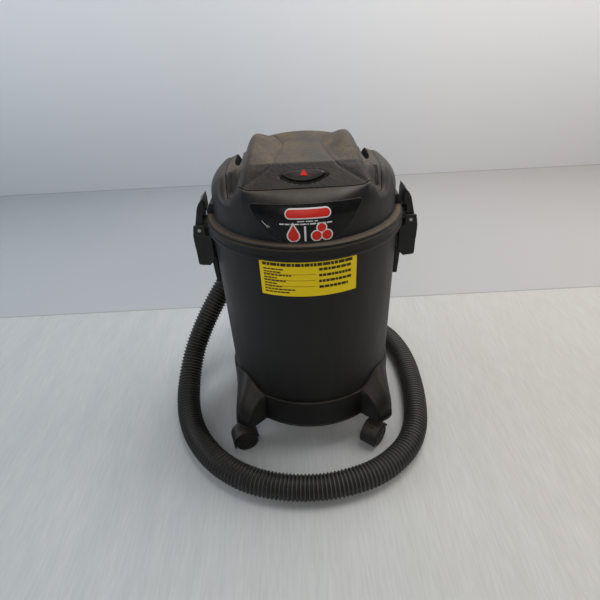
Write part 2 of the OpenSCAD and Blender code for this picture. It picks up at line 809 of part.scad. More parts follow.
module retaining_ring() {
    color("#1b1b1c")
    translate([0, 0, sleeve_z + sleeve_h - 12]) difference() {
        cylinder(r = sleeve_r + foam_t + 3, h = 6);
        translate([0, 0, -1]) cylinder(r = sleeve_r + foam_t + 0.1, h = 10);
    }
}

// ---------------------------------------------------------------- hose

module hose_elbow() {
    color("#1d1e20")
    translate([0, elbow_y, port_z]) rotate([0, -elbow_roll, 0]) difference() {
        union() {
            translate([0, -elbow_collar - elbow_plug, 0]) rotate([-90, 0, 0])
                cylinder(r = port_bore_r - fit, h = elbow_plug + elbow_collar);
            translate([0, -elbow_collar, 0]) rotate([-90, 0, 0])
                cylinder(r = elbow_r + 3, h = elbow_collar + eps);
            translate([-elbow_bend, 0, 0]) rotate_extrude(angle = 90)
                translate([elbow_bend, 0]) circle(r = elbow_r);
            translate([-elbow_bend - elbow_socket, elbow_bend, 0]) rotate([0, 90, 0])
                cylinder(r = hose_d / 2 + 2.5, h = elbow_socket + eps);
        }
        translate([0, -40, 0]) rotate([-90, 0, 0]) cylinder(r = elbow_bore_r, h = 40 + eps);
        translate([-elbow_bend, 0, 0]) rotate_extrude(angle = 90)
            translate([elbow_bend, 0]) circle(r = elbow_bore_r);
        translate([-elbow_bend - elbow_socket - 1, elbow_bend, 0]) rotate([0, 90, 0])
            cylinder(r = elbow_bore_r, h = elbow_socket + 1 + eps);
    }
}

// The point where the hose leaves the elbow, and its route along the floor to the tool cuff.
exit_reach = elbow_bend + elbow_socket;
HOSE = [[-exit_reach * cos(elbow_roll), elbow_y + elbow_bend, port_z - exit_reach * sin(elbow_roll)],
    [-97, 191, 227], [-126, 168, 204], [-152, 139, 178], [-177, 108, 149], [-202, 76, 112],
    [-220, 42, 76], [-227, -2, 46], [-223, -52, 29], [-209, -97, 22], [-188, -135, 21],
    [-163, -166, 21], [-135, -190, 21], [-102, -209, 21], [-66, -221, 21], [-28, -227, 21],
    [11, -227, 21], [50, -220, 21], [88, -207, 21], [122, -185, 21], [151, -154, 21],
    [171, -112, 21], [182, -60, 21], [187, -6, 21], [187, 48, 21], [179, 98, 21], [162, 141, 21],
    [132, 176, 21], [89, 200, 21], [36, 215, 21], [-20, 219, 21], [-70, 213, 21]];
HOSE_SIDES = 12;
RINGS_PER_SPAN = 2;

function clampi(i) = max(0, min(len(HOSE) - 1, i));
function spline(i, t) = let (a = HOSE[clampi(i - 1)], b = HOSE[i], c = HOSE[clampi(i + 1)], d = HOSE[clampi(i + 2)])
    0.5 * (2 * b + t * (c - a) + t * t * (2 * a - 5 * b + 4 * c - d) + t * t * t * (3 * b - a - 3 * c + d));
PATH = concat([for (i = [0:len(HOSE) - 2]) for (k = [0:RINGS_PER_SPAN - 1]) spline(i, k / RINGS_PER_SPAN)],
    [HOSE[len(HOSE) - 1]]);
function unit(v) = v / norm(v);
exit_dir = [-cos(elbow_roll), 0, -sin(elbow_roll)];
cuff_dir = unit(HOSE[len(HOSE) - 1] - HOSE[len(HOSE) - 2]);
function tangent(i) = i == 0 ? exit_dir : i == len(PATH) - 1 ? cuff_dir
    : unit(PATH[i + 1] - PATH[i - 1]);
function side_dir(i) = unit(cross([0, 0, 1], tangent(i)));
function up_dir(i) = cross(tangent(i), side_dir(i));
function ring(i, r) = [for (k = [0:HOSE_SIDES - 1]) let (a = 360 * k / HOSE_SIDES)
    PATH[i] + r * (cos(a) * side_dir(i) + sin(a) * up_dir(i))];

// A hollow tube: outer wall, inner wall and a flat ring at each end.
module hose() {
    n = len(PATH);
    m = HOSE_SIDES;
    outer = [for (i = [0:n - 1]) each ring(i, hose_d / 2)];
    inner = [for (i = [0:n - 1]) each ring(i, hose_bore / 2)];
    off = n * m;
    faces = concat(
        [for (i = [0:n - 2]) for (k = [0:m - 1]) [i * m + k, i * m + (k + 1) % m, (i + 1) * m + k]],
        [for (i = [0:n - 2]) for (k = [0:m - 1]) [i * m + (k + 1) % m, (i + 1) * m + (k + 1) % m, (i + 1) * m + k]],
        [for (i = [0:n - 2]) for (k = [0:m - 1]) [off + i * m + k, off + (i + 1) * m + k, off + i * m + (k + 1) % m]],
        [for (i = [0:n - 2]) for (k = [0:m - 1])
            [off + i * m + (k + 1) % m, off + (i + 1) * m + k, off + (i + 1) * m + (k + 1) % m]],
        [for (k = [0:m - 1]) [k, off + k, (k + 1) % m]],
        [for (k = [0:m - 1]) [(k + 1) % m, off + k, off + (k + 1) % m]],
        [for (k = [0:m - 1]) let (b = (n - 1) * m) [b + k, b + (k + 1) % m, off + b + k]],
        [for (k = [0:m - 1]) let (b = (n - 1) * m) [b + (k + 1) % m, off + b + (k + 1) % m, off + b + k]]);
    color("#26272a")
    polyhedron(points = concat(outer, inner), faces = faces);
}

module hose_tool_cuff() {
    color("#1d1e20")
    translate(HOSE[len(HOSE) - 1]) rotate([0, 0, atan2(cuff_dir[1], cuff_dir[0])]) rotate([0, 90, 0])
        difference() {
            union() {
                cylinder(r = hose_d / 2, h = cuff_grip_h);
                translate([0, 0, cuff_grip_h - eps])
                    cylinder(r1 = hose_d / 2, r2 = tool_bore_r + 2.6, h = cuff_h - cuff_grip_h + eps);
            }
            translate([0, 0, -1]) cylinder(r = tool_bore_r - 1.5, h = cuff_h + 2);
            translate([0, 0, cuff_h - tool_bore_h]) cylinder(r = tool_bore_r, h = tool_bore_h + 1);
        }
}

tank();
inlet_fitting();
tank_label();
dolly();
dolly_screws();
latch_bracket(-1);  // latch_bracket_left
latch_bracket(1);  // latch_bracket_right
latch(-1);  // latch_left
latch(1);  // latch_right
latch_pin(-1);  // latch_pin_left
latch_pin(1);  // latch_pin_right
caster_hood(CORNERS[0]);  // caster_hood_fl
caster_hood(CORNERS[1]);  // caster_hood_fr
caster_hood(CORNERS[2]);  // caster_hood_rl
caster_hood(CORNERS[3]);  // caster_hood_rr
caster_stem(CORNERS[0]);  // caster_stem_fl
caster_stem(CORNERS[1]);  // caster_stem_fr
caster_stem(CORNERS[2]);  // caster_stem_rl
caster_stem(CORNERS[3]);  // caster_stem_rr
caster_axle(CORNERS[0]);  // caster_axle_fl
caster_axle(CORNERS[1]);  // caster_axle_fr
caster_axle(CORNERS[2]);  // caster_axle_rl
caster_axle(CORNERS[3]);  // caster_axle_rr
wheel(CORNERS[0], -1);  // wheel_fl_in
wheel(CORNERS[0], 1);  // wheel_fl_out
wheel(CORNERS[1], -1);  // wheel_fr_in
wheel(CORNERS[1], 1);  // wheel_fr_out
wheel(CORNERS[2], -1);  // wheel_rl_in
wheel(CORNERS[2], 1);  // wheel_rl_out
wheel(CORNERS[3], -1);  // wheel_rr_in
wheel(CORNERS[3], 1);  // wheel_rr_out
lid();
lid_seal();
top_cover();
cover_screws();
head_label();
cord_gland();
switch_rocker();
switch_body();
motor_plate();
plate_screws();
fan_case();
impeller();
impeller_nut();
motor_frame();
motor_stator();
armature();
commutator();
carbon_brushes();
bearing_bottom();
bearing_top();
cooling_fan();
filter_cage();
float_ball();
filter_sleeve();
retaining_ring();
hose_elbow();
hose();
hose_tool_cuff();
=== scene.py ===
import json
import math
import random

import bmesh
import bpy
from mathutils import Matrix, Vector


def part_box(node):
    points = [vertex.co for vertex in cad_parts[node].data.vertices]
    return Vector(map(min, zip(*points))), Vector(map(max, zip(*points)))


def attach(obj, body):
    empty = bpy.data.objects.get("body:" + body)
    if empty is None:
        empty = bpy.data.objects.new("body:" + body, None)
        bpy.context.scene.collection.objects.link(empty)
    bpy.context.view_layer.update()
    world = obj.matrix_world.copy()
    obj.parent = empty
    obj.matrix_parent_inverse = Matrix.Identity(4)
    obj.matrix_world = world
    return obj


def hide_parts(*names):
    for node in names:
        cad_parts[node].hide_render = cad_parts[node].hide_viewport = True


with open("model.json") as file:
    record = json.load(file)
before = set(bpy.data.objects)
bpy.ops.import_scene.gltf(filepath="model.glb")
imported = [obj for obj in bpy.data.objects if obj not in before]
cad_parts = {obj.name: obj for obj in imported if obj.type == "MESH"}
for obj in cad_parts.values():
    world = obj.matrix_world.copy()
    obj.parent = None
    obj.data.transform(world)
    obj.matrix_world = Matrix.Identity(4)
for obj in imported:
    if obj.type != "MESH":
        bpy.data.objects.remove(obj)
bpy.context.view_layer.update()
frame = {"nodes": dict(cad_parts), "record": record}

NODES = frame["nodes"]
MM = 0.001


# ---- camera, floor and light
CAMERA_PLACE = (-0.0119, -0.6673, 0.6354)
CAMERA_PITCH = 32.6      # degrees below the horizon
CAMERA_TURN = 0.14       # degrees to the left
CAMERA_ROLL = -3.08      # degrees
CAMERA_LENS = 28.18


def new_object(name, data):
    thing = bpy.data.objects.new(name, data)
    bpy.context.scene.collection.objects.link(thing)
    return thing


def make_camera():
    camera = new_object("camera", bpy.data.cameras.new("camera"))
    camera.data.lens = CAMERA_LENS
    camera.data.sensor_width = 36
    aim = Matrix.Rotation(math.radians(CAMERA_TURN), 4, "Z")
    aim @= Matrix.Rotation(math.radians(90 - CAMERA_PITCH), 4, "X")
    aim @= Matrix.Rotation(math.radians(CAMERA_ROLL), 4, "Z")
    camera.matrix_world = Matrix.Translation(CAMERA_PLACE) @ aim
    bpy.context.scene.camera = camera


def area_light(name, place, target, size, power, colour):
    light = new_object(name, bpy.data.lights.new(name, "AREA"))
    light.data.shape = "SQUARE"
    light.data.size = size
    light.data.energy = power
    light.data.color = colour
    light.location = place
    aim = Vector(target) - Vector(place)
    light.rotation_euler = aim.to_track_quat("-Z", "Y").to_euler()


def make_lights():
    area_light("ceiling", (0.45, 0.30, 2.05), (0, 0, 0.2), 1.1, 21, (1.0, 0.99, 0.97))
    area_light("front", (-0.15, -2.0, 1.5), (0, 0, 0.25), 1.3, 13, (1.0, 0.985, 0.96))
    area_light("window", (-1.7, 0.1, 1.1), (0, 0, 0.3), 1.3, 10.5, (0.86, 0.93, 1.0))
    area_light("lamp", (1.7, 0.2, 1.1), (0, 0, 0.3), 1.3, 11.5, (1.0, 0.95, 0.88))
    world = bpy.data.worlds.new("room")
    world.use_nodes = True
    world.node_tree.nodes["Background"].inputs["Color"].default_value = (0.78, 0.81, 0.86, 1)
    world.node_tree.nodes["Background"].inputs["Strength"].default_value = 0.115
    bpy.context.scene.world = world
    bpy.context.scene.view_settings.view_transform = "Standard"


make_camera()
make_lights()


# ---- shaders
class Shader:
    """A material's node tree, with short ways to add the nodes that the finishes here need."""

    def __init__(self, name):
        self.material = bpy.data.materials.new(name)
        self.material.use_nodes = True
        self.tree = self.material.node_tree
        self.tree.nodes.clear()
        self.surface = self.tree.nodes.new("ShaderNodeBsdfPrincipled")
        output = self.tree.nodes.new("ShaderNodeOutputMaterial")
        self.tree.links.new(self.surface.outputs["BSDF"], output.inputs["Surface"])
        self.place = self.tree.nodes.new("ShaderNodeTexCoord").outputs["Object"]

    def put(self, socket, value):
        """Links value into a socket if it is another node's output, or else sets it."""
        if isinstance(value, bpy.types.NodeSocket):
            self.tree.links.new(value, socket)
        elif isinstance(value, (tuple, list)) and len(value) == 3 and socket.type == "RGBA":
            socket.default_value = (*value, 1)
        else:
            socket.default_value = value

    def add(self, kind, outlet, settings=(), **inputs):
        node = self.tree.nodes.new(kind)
        for key, value in dict(settings).items():
            setattr(node, key, value)
        for key, value in inputs.items():
            self.put(node.inputs[key.replace("_", " ")], value)
        return node.outputs[outlet]

    def stretched(self, scale, turn=(0, 0, 0)):
        return self.add("ShaderNodeMapping", "Vector", Vector=self.place, Scale=scale, Rotation=turn)

    def noise(self, scale, detail=4.0, roughness=0.55, place=None):
        return self.add("ShaderNodeTexNoise", "Fac", Vector=place or self.place,
                        Scale=scale, Detail=detail, Roughness=roughness)

    def step(self, value, low, high, to_low=0.0, to_high=1.0):
        node = self.tree.nodes.new("ShaderNodeMapRange")
        node.interpolation_type = "SMOOTHSTEP"
        for socket, number in zip(node.inputs, (value, low, high, to_low, to_high)):
            self.put(socket, number)
        return node.outputs["Result"]

    def math(self, operation, a, b=0.0, clamp=False):
        node = self.tree.nodes.new("ShaderNodeMath")
        node.operation = operation
        node.use_clamp = clamp
        self.put(node.inputs[0], a)
        self.put(node.inputs[1], b)
        return node.outputs[0]

    def mix(self, share, a, b):
        node = self.tree.nodes.new("ShaderNodeMix")
        node.data_type = "RGBA"
        self.put(node.inputs[0], share)
        self.put(node.inputs[6], a)
        self.put(node.inputs[7], b)
        return node.outputs[2]

    def axis(self, vector, name):
        return self.add("ShaderNodeSeparateXYZ", name, Vector=vector)

    def upward(self, low, high):
        """1 where the surface faces up, 0 where it is steep."""
        normal = self.tree.nodes.new("ShaderNodeNewGeometry").outputs["Normal"]
        return self.step(self.axis(normal, "Z"), low, high)

    def bump(self, height, depth, strength=1.0, under=None):
        node = self.tree.nodes.new("ShaderNodeBump")
        self.put(node.inputs["Height"], height)
        node.inputs["Distance"].default_value = depth
        node.inputs["Strength"].default_value = strength
        if under is not None:
            self.put(node.inputs["Normal"], under)
        return node.outputs["Normal"]

    def finish(self, colour, roughness, normal=None, **plain):
        self.put(self.surface.inputs["Base Color"], colour)
        self.put(self.surface.inputs["Roughness"], roughness)
        if normal is not None:
            self.put(self.surface.inputs["Normal"], normal)
        for key, value in plain.items():
            self.surface.inputs[key.replace("_", " ")].default_value = value
        return self.material


DUST = (0.150, 0.112, 0.076)
GRAIN_DEPTH = 0.00006    # of the moulds' fine grain, in metres


def dusty_plastic(name, clean, dust, scuffs, rough=0.5, dust_from=0.35):
    """Moulded plastic: fine grain, rubbed patches, upright scuffs, and dust on what faces up."""
    s = Shader(name)
    broad = s.noise(9.0, 5.0, 0.6)
    fine = s.noise(160.0, 3.0, 0.6)
    streaks = s.noise(15.0, 6.0, 0.70, s.stretched((1.0, 1.0, 0.22)))
    rubbed = s.step(streaks, 0.52, 0.66, 0.0, scuffs)
    paler = tuple(min(1.0, 1.9 * c + 0.014) for c in clean)
    darker = tuple(0.7 * c for c in clean)
    colour = s.mix(s.step(broad, 0.35, 0.7), darker, clean)
    colour = s.mix(rubbed, colour, paler)
    settled = s.math("MULTIPLY", s.upward(dust_from, dust_from + 0.5), s.step(broad, 0.30, 0.62, 0.55, 1.0))
    speckle = s.step(fine, 0.35, 0.65, 0.7, 1.0)
    settled = s.math("MULTIPLY", s.math("MULTIPLY", settled, speckle), dust, True)
    colour = s.mix(settled, colour, DUST)
    gloss = s.step(streaks, 0.3, 0.7, rough - 0.06, rough + 0.10)
    gloss = s.math("ADD", gloss, s.math("MULTIPLY", settled, 0.3), True)
    grit = s.noise(1500.0, 2.0, 0.5)
    normal = s.bump(grit, GRAIN_DEPTH, 0.6, s.bump(broad, 0.0006, 0.25))
    return s.finish(colour, gloss, normal, Specular_IOR_Level=0.38)


def machined(name, colour, rough, scale):
    """Bare metal: turned or drawn lines, faint stains and uneven gloss."""
    s = Shader(name)
    lines = s.noise(60.0, 3.0, 0.6, s.stretched(scale))
    stain = s.noise(35.0, 4.0, 0.6)
    dark = tuple(0.55 * c for c in colour)
    tone = s.mix(s.step(stain, 0.30, 0.62), dark, colour)
    gloss = s.step(lines, 0.3, 0.7, rough - 0.08, rough + 0.14)
    return s.finish(tone, gloss, s.bump(lines, 0.00008, 0.5), Metallic=1.0)


def wound_copper(name):
    """Varnished copper wire laid side by side over an iron core."""
    s = Shader(name)
    strands = s.add("ShaderNodeTexWave", "Fac", {"bands_direction": "Z"}, Vector=s.place, Scale=520.0,
                    Distortion=1.2, Detail=1.0)
    # Painted shade: the wire is painted darker in the crevices between its turns.
    tone = s.mix(s.step(strands, 0.1, 0.6), (0.16, 0.05, 0.02), (0.62, 0.26, 0.10))
    return s.finish(tone, 0.34, s.bump(strands, 0.0003, 0.8), Metallic=0.85)


def open_foam(name):
    s = Shader(name)
    cells = s.add("ShaderNodeTexVoronoi", "Distance", Vector=s.place, Scale=620.0)
    grime = s.noise(18.0, 5.0, 0.65)
    # Painted shade: the pores are painted darker than the cell walls around them.
    tone = s.mix(s.step(cells, 0.15, 0.55), (0.012, 0.012, 0.013), (0.055, 0.054, 0.052))
    tone = s.mix(s.step(grime, 0.5, 0.75, 0.0, 0.5), tone, DUST)
    return s.finish(tone, 0.95, s.bump(cells, 0.0008, 0.9))


def pressed_carbon(name):
    s = Shader(name)
    grit = s.noise(900.0, 3.0, 0.7)
    tone = s.mix(s.step(grit, 0.35, 0.7), (0.008, 0.008, 0.009), (0.04, 0.04, 0.042))
    return s.finish(tone, s.step(grit, 0.3, 0.7, 0.35, 0.6), s.bump(grit, 0.00008, 0.7))


def printed(name, ink, worn, rough, wear):
    """Label film or ink: nearly even colour with fine wear, dust specks and small dents."""
    s = Shader(name)
    patches = s.noise(30.0, 5.0, 0.65)
    specks = s.noise(420.0, 4.0, 0.7)
    tone = s.mix(s.step(patches, 0.40, 0.75, 0.0, wear), ink, worn)
    tone = s.mix(s.step(specks, 0.62, 0.74, 0.0, wear * 1.6), tone, worn)
    gloss = s.step(patches, 0.3, 0.7, rough - 0.05, rough + 0.16)
    return s.finish(tone, gloss, s.bump(patches, 0.0004, 0.3), Specular_IOR_Level=0.25)


def caked_cover(name, clean, dust):
    """The motor cover: bumpy moulded grain on top, heavy dust where it lies level, rubbed ridges."""
    s = Shader(name)
    broad = s.noise(11.0, 6.0, 0.62)
    blotch = s.noise(34.0, 5.0, 0.6)
    pits = s.noise(240.0, 3.0, 0.55)
    smears = s.noise(16.0, 6.0, 0.7, s.stretched((1.0, 0.35, 1.0), (0, 0, 0.5)))
    tone = s.mix(s.step(broad, 0.35, 0.7), tuple(0.7 * c for c in clean), clean)
    lies = s.math("MULTIPLY", s.upward(0.60, 1.0), s.step(blotch, 0.34, 0.62, 0.42, 1.0))
    lies = s.math("MULTIPLY", lies, s.step(smears, 0.38, 0.56, 0.50, 1.0))
    lies = s.math("MULTIPLY", lies, s.step(pits, 0.36, 0.60, 0.60, 1.0))
    lies = s.math("MULTIPLY", lies, dust, True)
    tone = s.mix(lies, tone, (0.185, 0.132, 0.080))
    tone = s.mix(s.step(smears, 0.60, 0.78, 0.0, 0.5), tone, tuple(2.4 * c + 0.01 for c in clean))
    gloss = s.math("ADD", s.step(smears, 0.3, 0.7, 0.42, 0.56), s.math("MULTIPLY", lies, 0.35), True)
    under = s.bump(broad, 0.0010, 0.3)
    return s.finish(tone, gloss, s.bump(pits, 0.0009, 0.5, under))


def ribbed_hose(name):
    """Hose: rubbed, dusty ridges with a painted highlight on their upper sides, and grooves painted nearly
    black as shade, from the groove value stored on the mesh.
    """
    s = Shader(name)
    along_it = s.add("ShaderNodeAttribute", "Fac", {"attribute_name": "groove"})
    film = s.noise(12.0, 5.0, 0.6)
    ridge = s.mix(s.step(film, 0.35, 0.7), (0.030, 0.027, 0.025), (0.074, 0.066, 0.058))
    # Painted shade: the grooves are painted nearly black.
    tone = s.mix(s.step(along_it, 0.10, 0.55), ridge, (0.0030, 0.0028, 0.0027))
    # Dust and painted highlight: the upper sides of the ridges are lightened towards the dust colour.
    dust_and_highlight = s.math("MULTIPLY", s.upward(0.55, 1.0), s.step(film, 0.42, 0.68, 0.0, 0.35))
    dust_and_highlight = s.math("MULTIPLY", dust_and_highlight, s.step(along_it, 0.3, 0.0))
    tone = s.mix(dust_and_highlight, tone, DUST)
    return s.finish(tone, s.step(film, 0.3, 0.7, 0.42, 0.58), s.bump(s.noise(700.0, 2.0), 0.0001, 0.5))


# Clean colour, dust, scuffs, roughness, and how level a face has to be for dust to settle on it.
PLASTICS = {
    "tank_plastic": ((0.0036, 0.0031, 0.0028), 0.26, 0.30, 0.46, 0.45),
    "head_plastic": ((0.0072, 0.0074, 0.0084), 0.40, 0.40, 0.44, 0.5),
    "inlet_plastic": ((0.0085, 0.0083, 0.0084), 0.25, 0.3, 0.42),
    "caster_plastic": ((0.0145, 0.0145, 0.0155), 0.28, 0.45),
    "wheel_plastic": ((0.0085, 0.0074, 0.0066), 0.26, 0.5),
    "inner_plastic": ((0.02, 0.02, 0.021), 0.3, 0.3),
    "switch_plastic": ((0.0085, 0.0083, 0.0085), 0.28, 0.3, 0.4),
    "float_plastic": ((0.5, 0.5, 0.46), 0.2, 0.1, 0.35),
    "seal_rubber": ((0.010, 0.010, 0.010), 0.25, 0.2, 0.7),
    "settled_dust": ((0.060, 0.046, 0.032), 0.95, 0.5, 0.75, -0.3),
    "rim_dust": ((0.020, 0.017, 0.014), 0.25, 0.6, 0.7, -0.2),
}
# Colour when clean and when worn, roughness and wear.
PRINTS = {
    "label_yellow": ((0.90, 0.66, 0.006), (0.62, 0.45, 0.03), 0.42, 0.16),
    "label_black": ((0.0052, 0.0052, 0.0058), (0.020, 0.019, 0.017), 0.24, 0.25),
    "print_red": ((0.72, 0.026, 0.016), (0.38, 0.035, 0.02), 0.35, 0.3),
    "print_white": ((0.82, 0.82, 0.82), (0.45, 0.43, 0.40), 0.4, 0.4),
    "print_black": ((0.022, 0.018, 0.007), (0.15, 0.11, 0.015), 0.4, 0.45),
    "print_rule": ((0.26, 0.10, 0.012), (0.46, 0.30, 0.02), 0.4, 0.45),
}
# Colour, roughness and the scale of the machined lines.
METALS = {
    "screw_steel": ((0.48, 0.47, 0.45), 0.34, (1.0, 1.0, 14.0)),
    "motor_aluminium": ((0.60, 0.61, 0.62), 0.38, (1.0, 1.0, 6.0)),
    "core_steel": ((0.26, 0.26, 0.27), 0.42, (1.0, 1.0, 30.0)),
}
MATERIALS = {
    "cover_plastic": caked_cover("cover_plastic", (0.0120, 0.0100, 0.0080), 0.80),
    "hose_plastic": ribbed_hose("hose_plastic"),
    "foam": open_foam("foam"),
    "carbon": pressed_carbon("carbon"),
    "winding_copper": wound_copper("winding_copper"),
}
for make, table in ((dusty_plastic, PLASTICS), (printed, PRINTS), (machined, METALS)):
    MATERIALS.update({name: make(name, *finish) for name, finish in table.items()})

WALL_Y = 0.315           # where the board ends and the wall's tone starts
BACKDROP_Y = 1.25


def make_room():
    """A floor board, whose far part has the wall's tone, and well behind the object an upright sheet."""
    s = Shader("pale_board")
    grain = s.noise(5.0, 4.0, 0.6, s.stretched((6.0, 0.6, 1.0)))
    cloudy = s.noise(1.3, 3.0, 0.5)
    # Painted shade: board and wall tones run darker and bluer on the left and lighter and warmer on the
    # right, as shadow falling to the left of light from the right.
    across = s.step(s.axis(s.place, "X"), -0.45, 0.6)
    depth, height = s.axis(s.place, "Y"), s.axis(s.place, "Z")
    board = s.mix(across, (0.50, 0.535, 0.555), (0.60, 0.575, 0.535))
    threads = s.noise(60.0, 3.0, 0.6, s.stretched((6.0, 0.35, 1.0)))
    board = s.mix(s.step(grain, 0.3, 0.7, 0.0, 0.30), board, (0.66, 0.66, 0.65))
    board = s.mix(s.step(threads, 0.35, 0.65, 0.0, 0.22), board, (0.36, 0.365, 0.36))
    # Painted shade: the wall's tone is painted darker low down, on the board's far part, and lighter with
    # height up the upright sheet.
    low_wall = s.mix(across, (0.415, 0.44, 0.475), (0.50, 0.49, 0.485))
    foot = s.mix(across, (0.62, 0.645, 0.685), (0.72, 0.715, 0.725))
    head = s.mix(across, (0.90, 0.93, 0.97), (0.97, 0.97, 0.985))
    high_wall = s.mix(s.step(height, 0.0, 0.8), foot, head)
    wall = s.mix(s.step(height, 0.0005, 0.004), low_wall, high_wall)
    wall = s.mix(s.step(cloudy, 0.3, 0.7, 0.0, 0.08), wall, (0.74, 0.75, 0.77))
    behind = s.step(depth, WALL_Y - 0.001, WALL_Y + 0.001)
    joint = s.math("MULTIPLY", behind, s.step(depth, WALL_Y + 0.006, WALL_Y + 0.002))
    tone = s.mix(behind, board, wall)
    paint = s.finish(s.mix(joint, tone, (0.34, 0.335, 0.33)), 0.75, s.bump(grain, 0.0004, 0.3))
    near, far, top = ([(-4, y, z), (4, y, z)] for y, z in ((-4, 0), (BACKDROP_Y, 0), (BACKDROP_Y, 3)))
    for name, corners in (("floor", near + far[::-1]), ("backdrop", far + top[::-1])):
        mesh = bpy.data.meshes.new(name)
        mesh.from_pydata(corners, [], [(0, 1, 2, 3)])
        mesh.materials.append(paint)
        sheet = new_object(name, mesh)


make_room()

# ---- mesh helpers
def new_piece(name, points, faces, material, smooth_below=35.0):
    """A mesh object at the origin, in metres, from points in millimetres and a material's name."""
    mesh = bpy.data.meshes.new(name)
    mesh.from_pydata([(x * MM, y * MM, z * MM) for x, y, z in points], [], faces)
    mesh.materials.append(MATERIALS[material])
    piece = new_object(name, mesh)
    tidy(piece, smooth_below)
    return piece


def tidy(piece, smooth_below=35.0, merge=0.00001):
    """Merges doubles, turns the faces outward and shades smooth across all but sharp edges."""
    bm = bmesh.new()
    bm.from_mesh(piece.data)
    bmesh.ops.remove_doubles(bm, verts=bm.verts, dist=merge)
    bmesh.ops.recalc_face_normals(bm, faces=bm.faces)
    limit = math.radians(smooth_below)
    for edge in bm.edges:
        edge.smooth = not edge.is_manifold or edge.calc_face_angle(0) < limit
    for face in bm.faces:
        face.smooth = True
    bm.to_mesh(piece.data)
    bm.free()


def grid_faces(rows, columns, close_rows=False, close_columns=True):
    """Quads between rows of points, where each row holds the same number of columns."""
    faces = []
    for r in range(rows if close_rows else rows - 1):
        for c in range(columns if close_columns else columns - 1):
            a, b = r * columns + c, r * columns + (c + 1) % columns
            up = ((r + 1) % rows) * columns
            faces.append((a, b, up + (c + 1) % columns, up + c))
    return faces


def prism_faces(n):
    """Faces between an outline of n points and the same outline moved along, points in that order."""
    sides = [(k, (k + 1) % n, n + (k + 1) % n, n + k) for k in range(n)]
    return [tuple(range(n))[::-1], tuple(range(n, 2 * n))] + sides


def lathe(name, profile, material, segments=160):
    """A ring whose section is a closed line of (radius, height) points."""
    points = []
    for radius, height in profile:
        for k in range(segments):
            angle = 2 * math.pi * k / segments
            points.append((radius * math.cos(angle), radius * math.sin(angle), height))
    return new_piece(name, points, grid_faces(len(profile), segments, True), material)


def along(points, x):
    """The height at x of a smooth curve through (x, height) points."""
    xs = [p[0] for p in points]
    if x <= xs[0]:
        return points[0][1]
    if x >= xs[-1]:
        return points[-1][1]
    i = max(k for k in range(len(xs) - 1) if xs[k] <= x)
    before, after = points[max(i - 1, 0)], points[min(i + 2, len(xs) - 1)]
    (xa, ya), (xb, yb) = points[i], points[i + 1]
    t = (x - xa) / (xb - xa)
    slope_a = (yb - before[1]) / (xb - before[0]) * (xb - xa)
    slope_b = (after[1] - ya) / (after[0] - xa) * (xb - xa)
    return ((2 * t**3 - 3 * t**2 + 1) * ya + (t**3 - 2 * t**2 + t) * slope_a
            + (3 * t**2 - 2 * t**3) * yb + (t**3 - t**2) * slope_b)


def soft_min(a, b, width):
    near = max(width - abs(a - b), 0) / width
    return min(a, b) - near * near * width / 4


def soft_max(a, b, width):
    return -soft_min(-a, -b, width)


def ease(t):
    t = max(0.0, min(1.0, t))
    return t * t * (3 - 2 * t)


def place(piece, body, slot, *nodes):
    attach(piece, body)
    if nodes:
        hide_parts(*nodes)


def box_mm(node):
    """A node's lowest and highest corners in millimetres."""
    return [[v / MM for v in corner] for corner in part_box(node)]


# ---- heights and radii from the frame
RIM_R = box_mm("tank")[1][1]
RIM_TOP = box_mm("tank")[1][2]
TANK_LOW = box_mm("tank")[0][2]
BASE_LOW = box_mm("dolly")[0][2]
FLANGE_R = box_mm("lid")[1][0]
FLANGE_LOW = RIM_TOP + 0.5
LID_R = FLANGE_R - 10
LID_SHOULDER = RIM_TOP + 35
LID_WALL_R = LID_R + 0.3
LID_DRAFT = 0.022        # how much the lid's wall leans in for each unit of height
COVER_TOP = box_mm("top_cover")[1][2]
COVER_HALF_D = 99.0
TANK_TOP_R = RIM_R - 5.8
TANK_BASE_R = TANK_TOP_R - 6.6


def tank_radius(z):
    share = (z - TANK_LOW) / (RIM_TOP - 17 - TANK_LOW)
    return TANK_BASE_R + (TANK_TOP_R - TANK_BASE_R) * share


# ---- head: lid and motor cover
# Half width of the waisted panel on top of the cover, as (y, half width).
PANEL_EDGE = [(-100, 86), (-88, 62), (-76, 41), (-55, 35), (-25, 29), (0, 27), (20, 32), (45, 42), (75, 58),
              (100, 80)]
# Height of the two humps' ridges below the cover's top, as (y, height).
RIDGE = [(-100, -41), (-88, -29), (-75, -17), (-55, -8), (-25, -1.5), (5, 0), (30, -2.5), (55, -8.5),
         (80, -22), (100, -39)]
HUMP_X = 61.0
FRONT_RISE = 1.02
PANEL_RISE = 0.085
WALL_RISE = 3.2
WING_RISE = 0.43
SLOT_DEEP = 15.0         # finger slot between each hump and the strip outside it
SLOT_X, SLOT_Y = 90.0, 18.0
SLOT_HALF_W, SLOT_HALF_L = 5.2, 46.0
POCKET_DEEP = 4.6        # pocket that the switch sits in
POCKET_LONG, POCKET_HIGH = 31.5, 11.5
FACE_STRETCH = 1.414     # length along the sloping front face for each unit along Y
SWITCH_Y, SWITCH_Z = (sum(ends) / 2 for ends in list(zip(*box_mm("switch_rocker")))[1:])


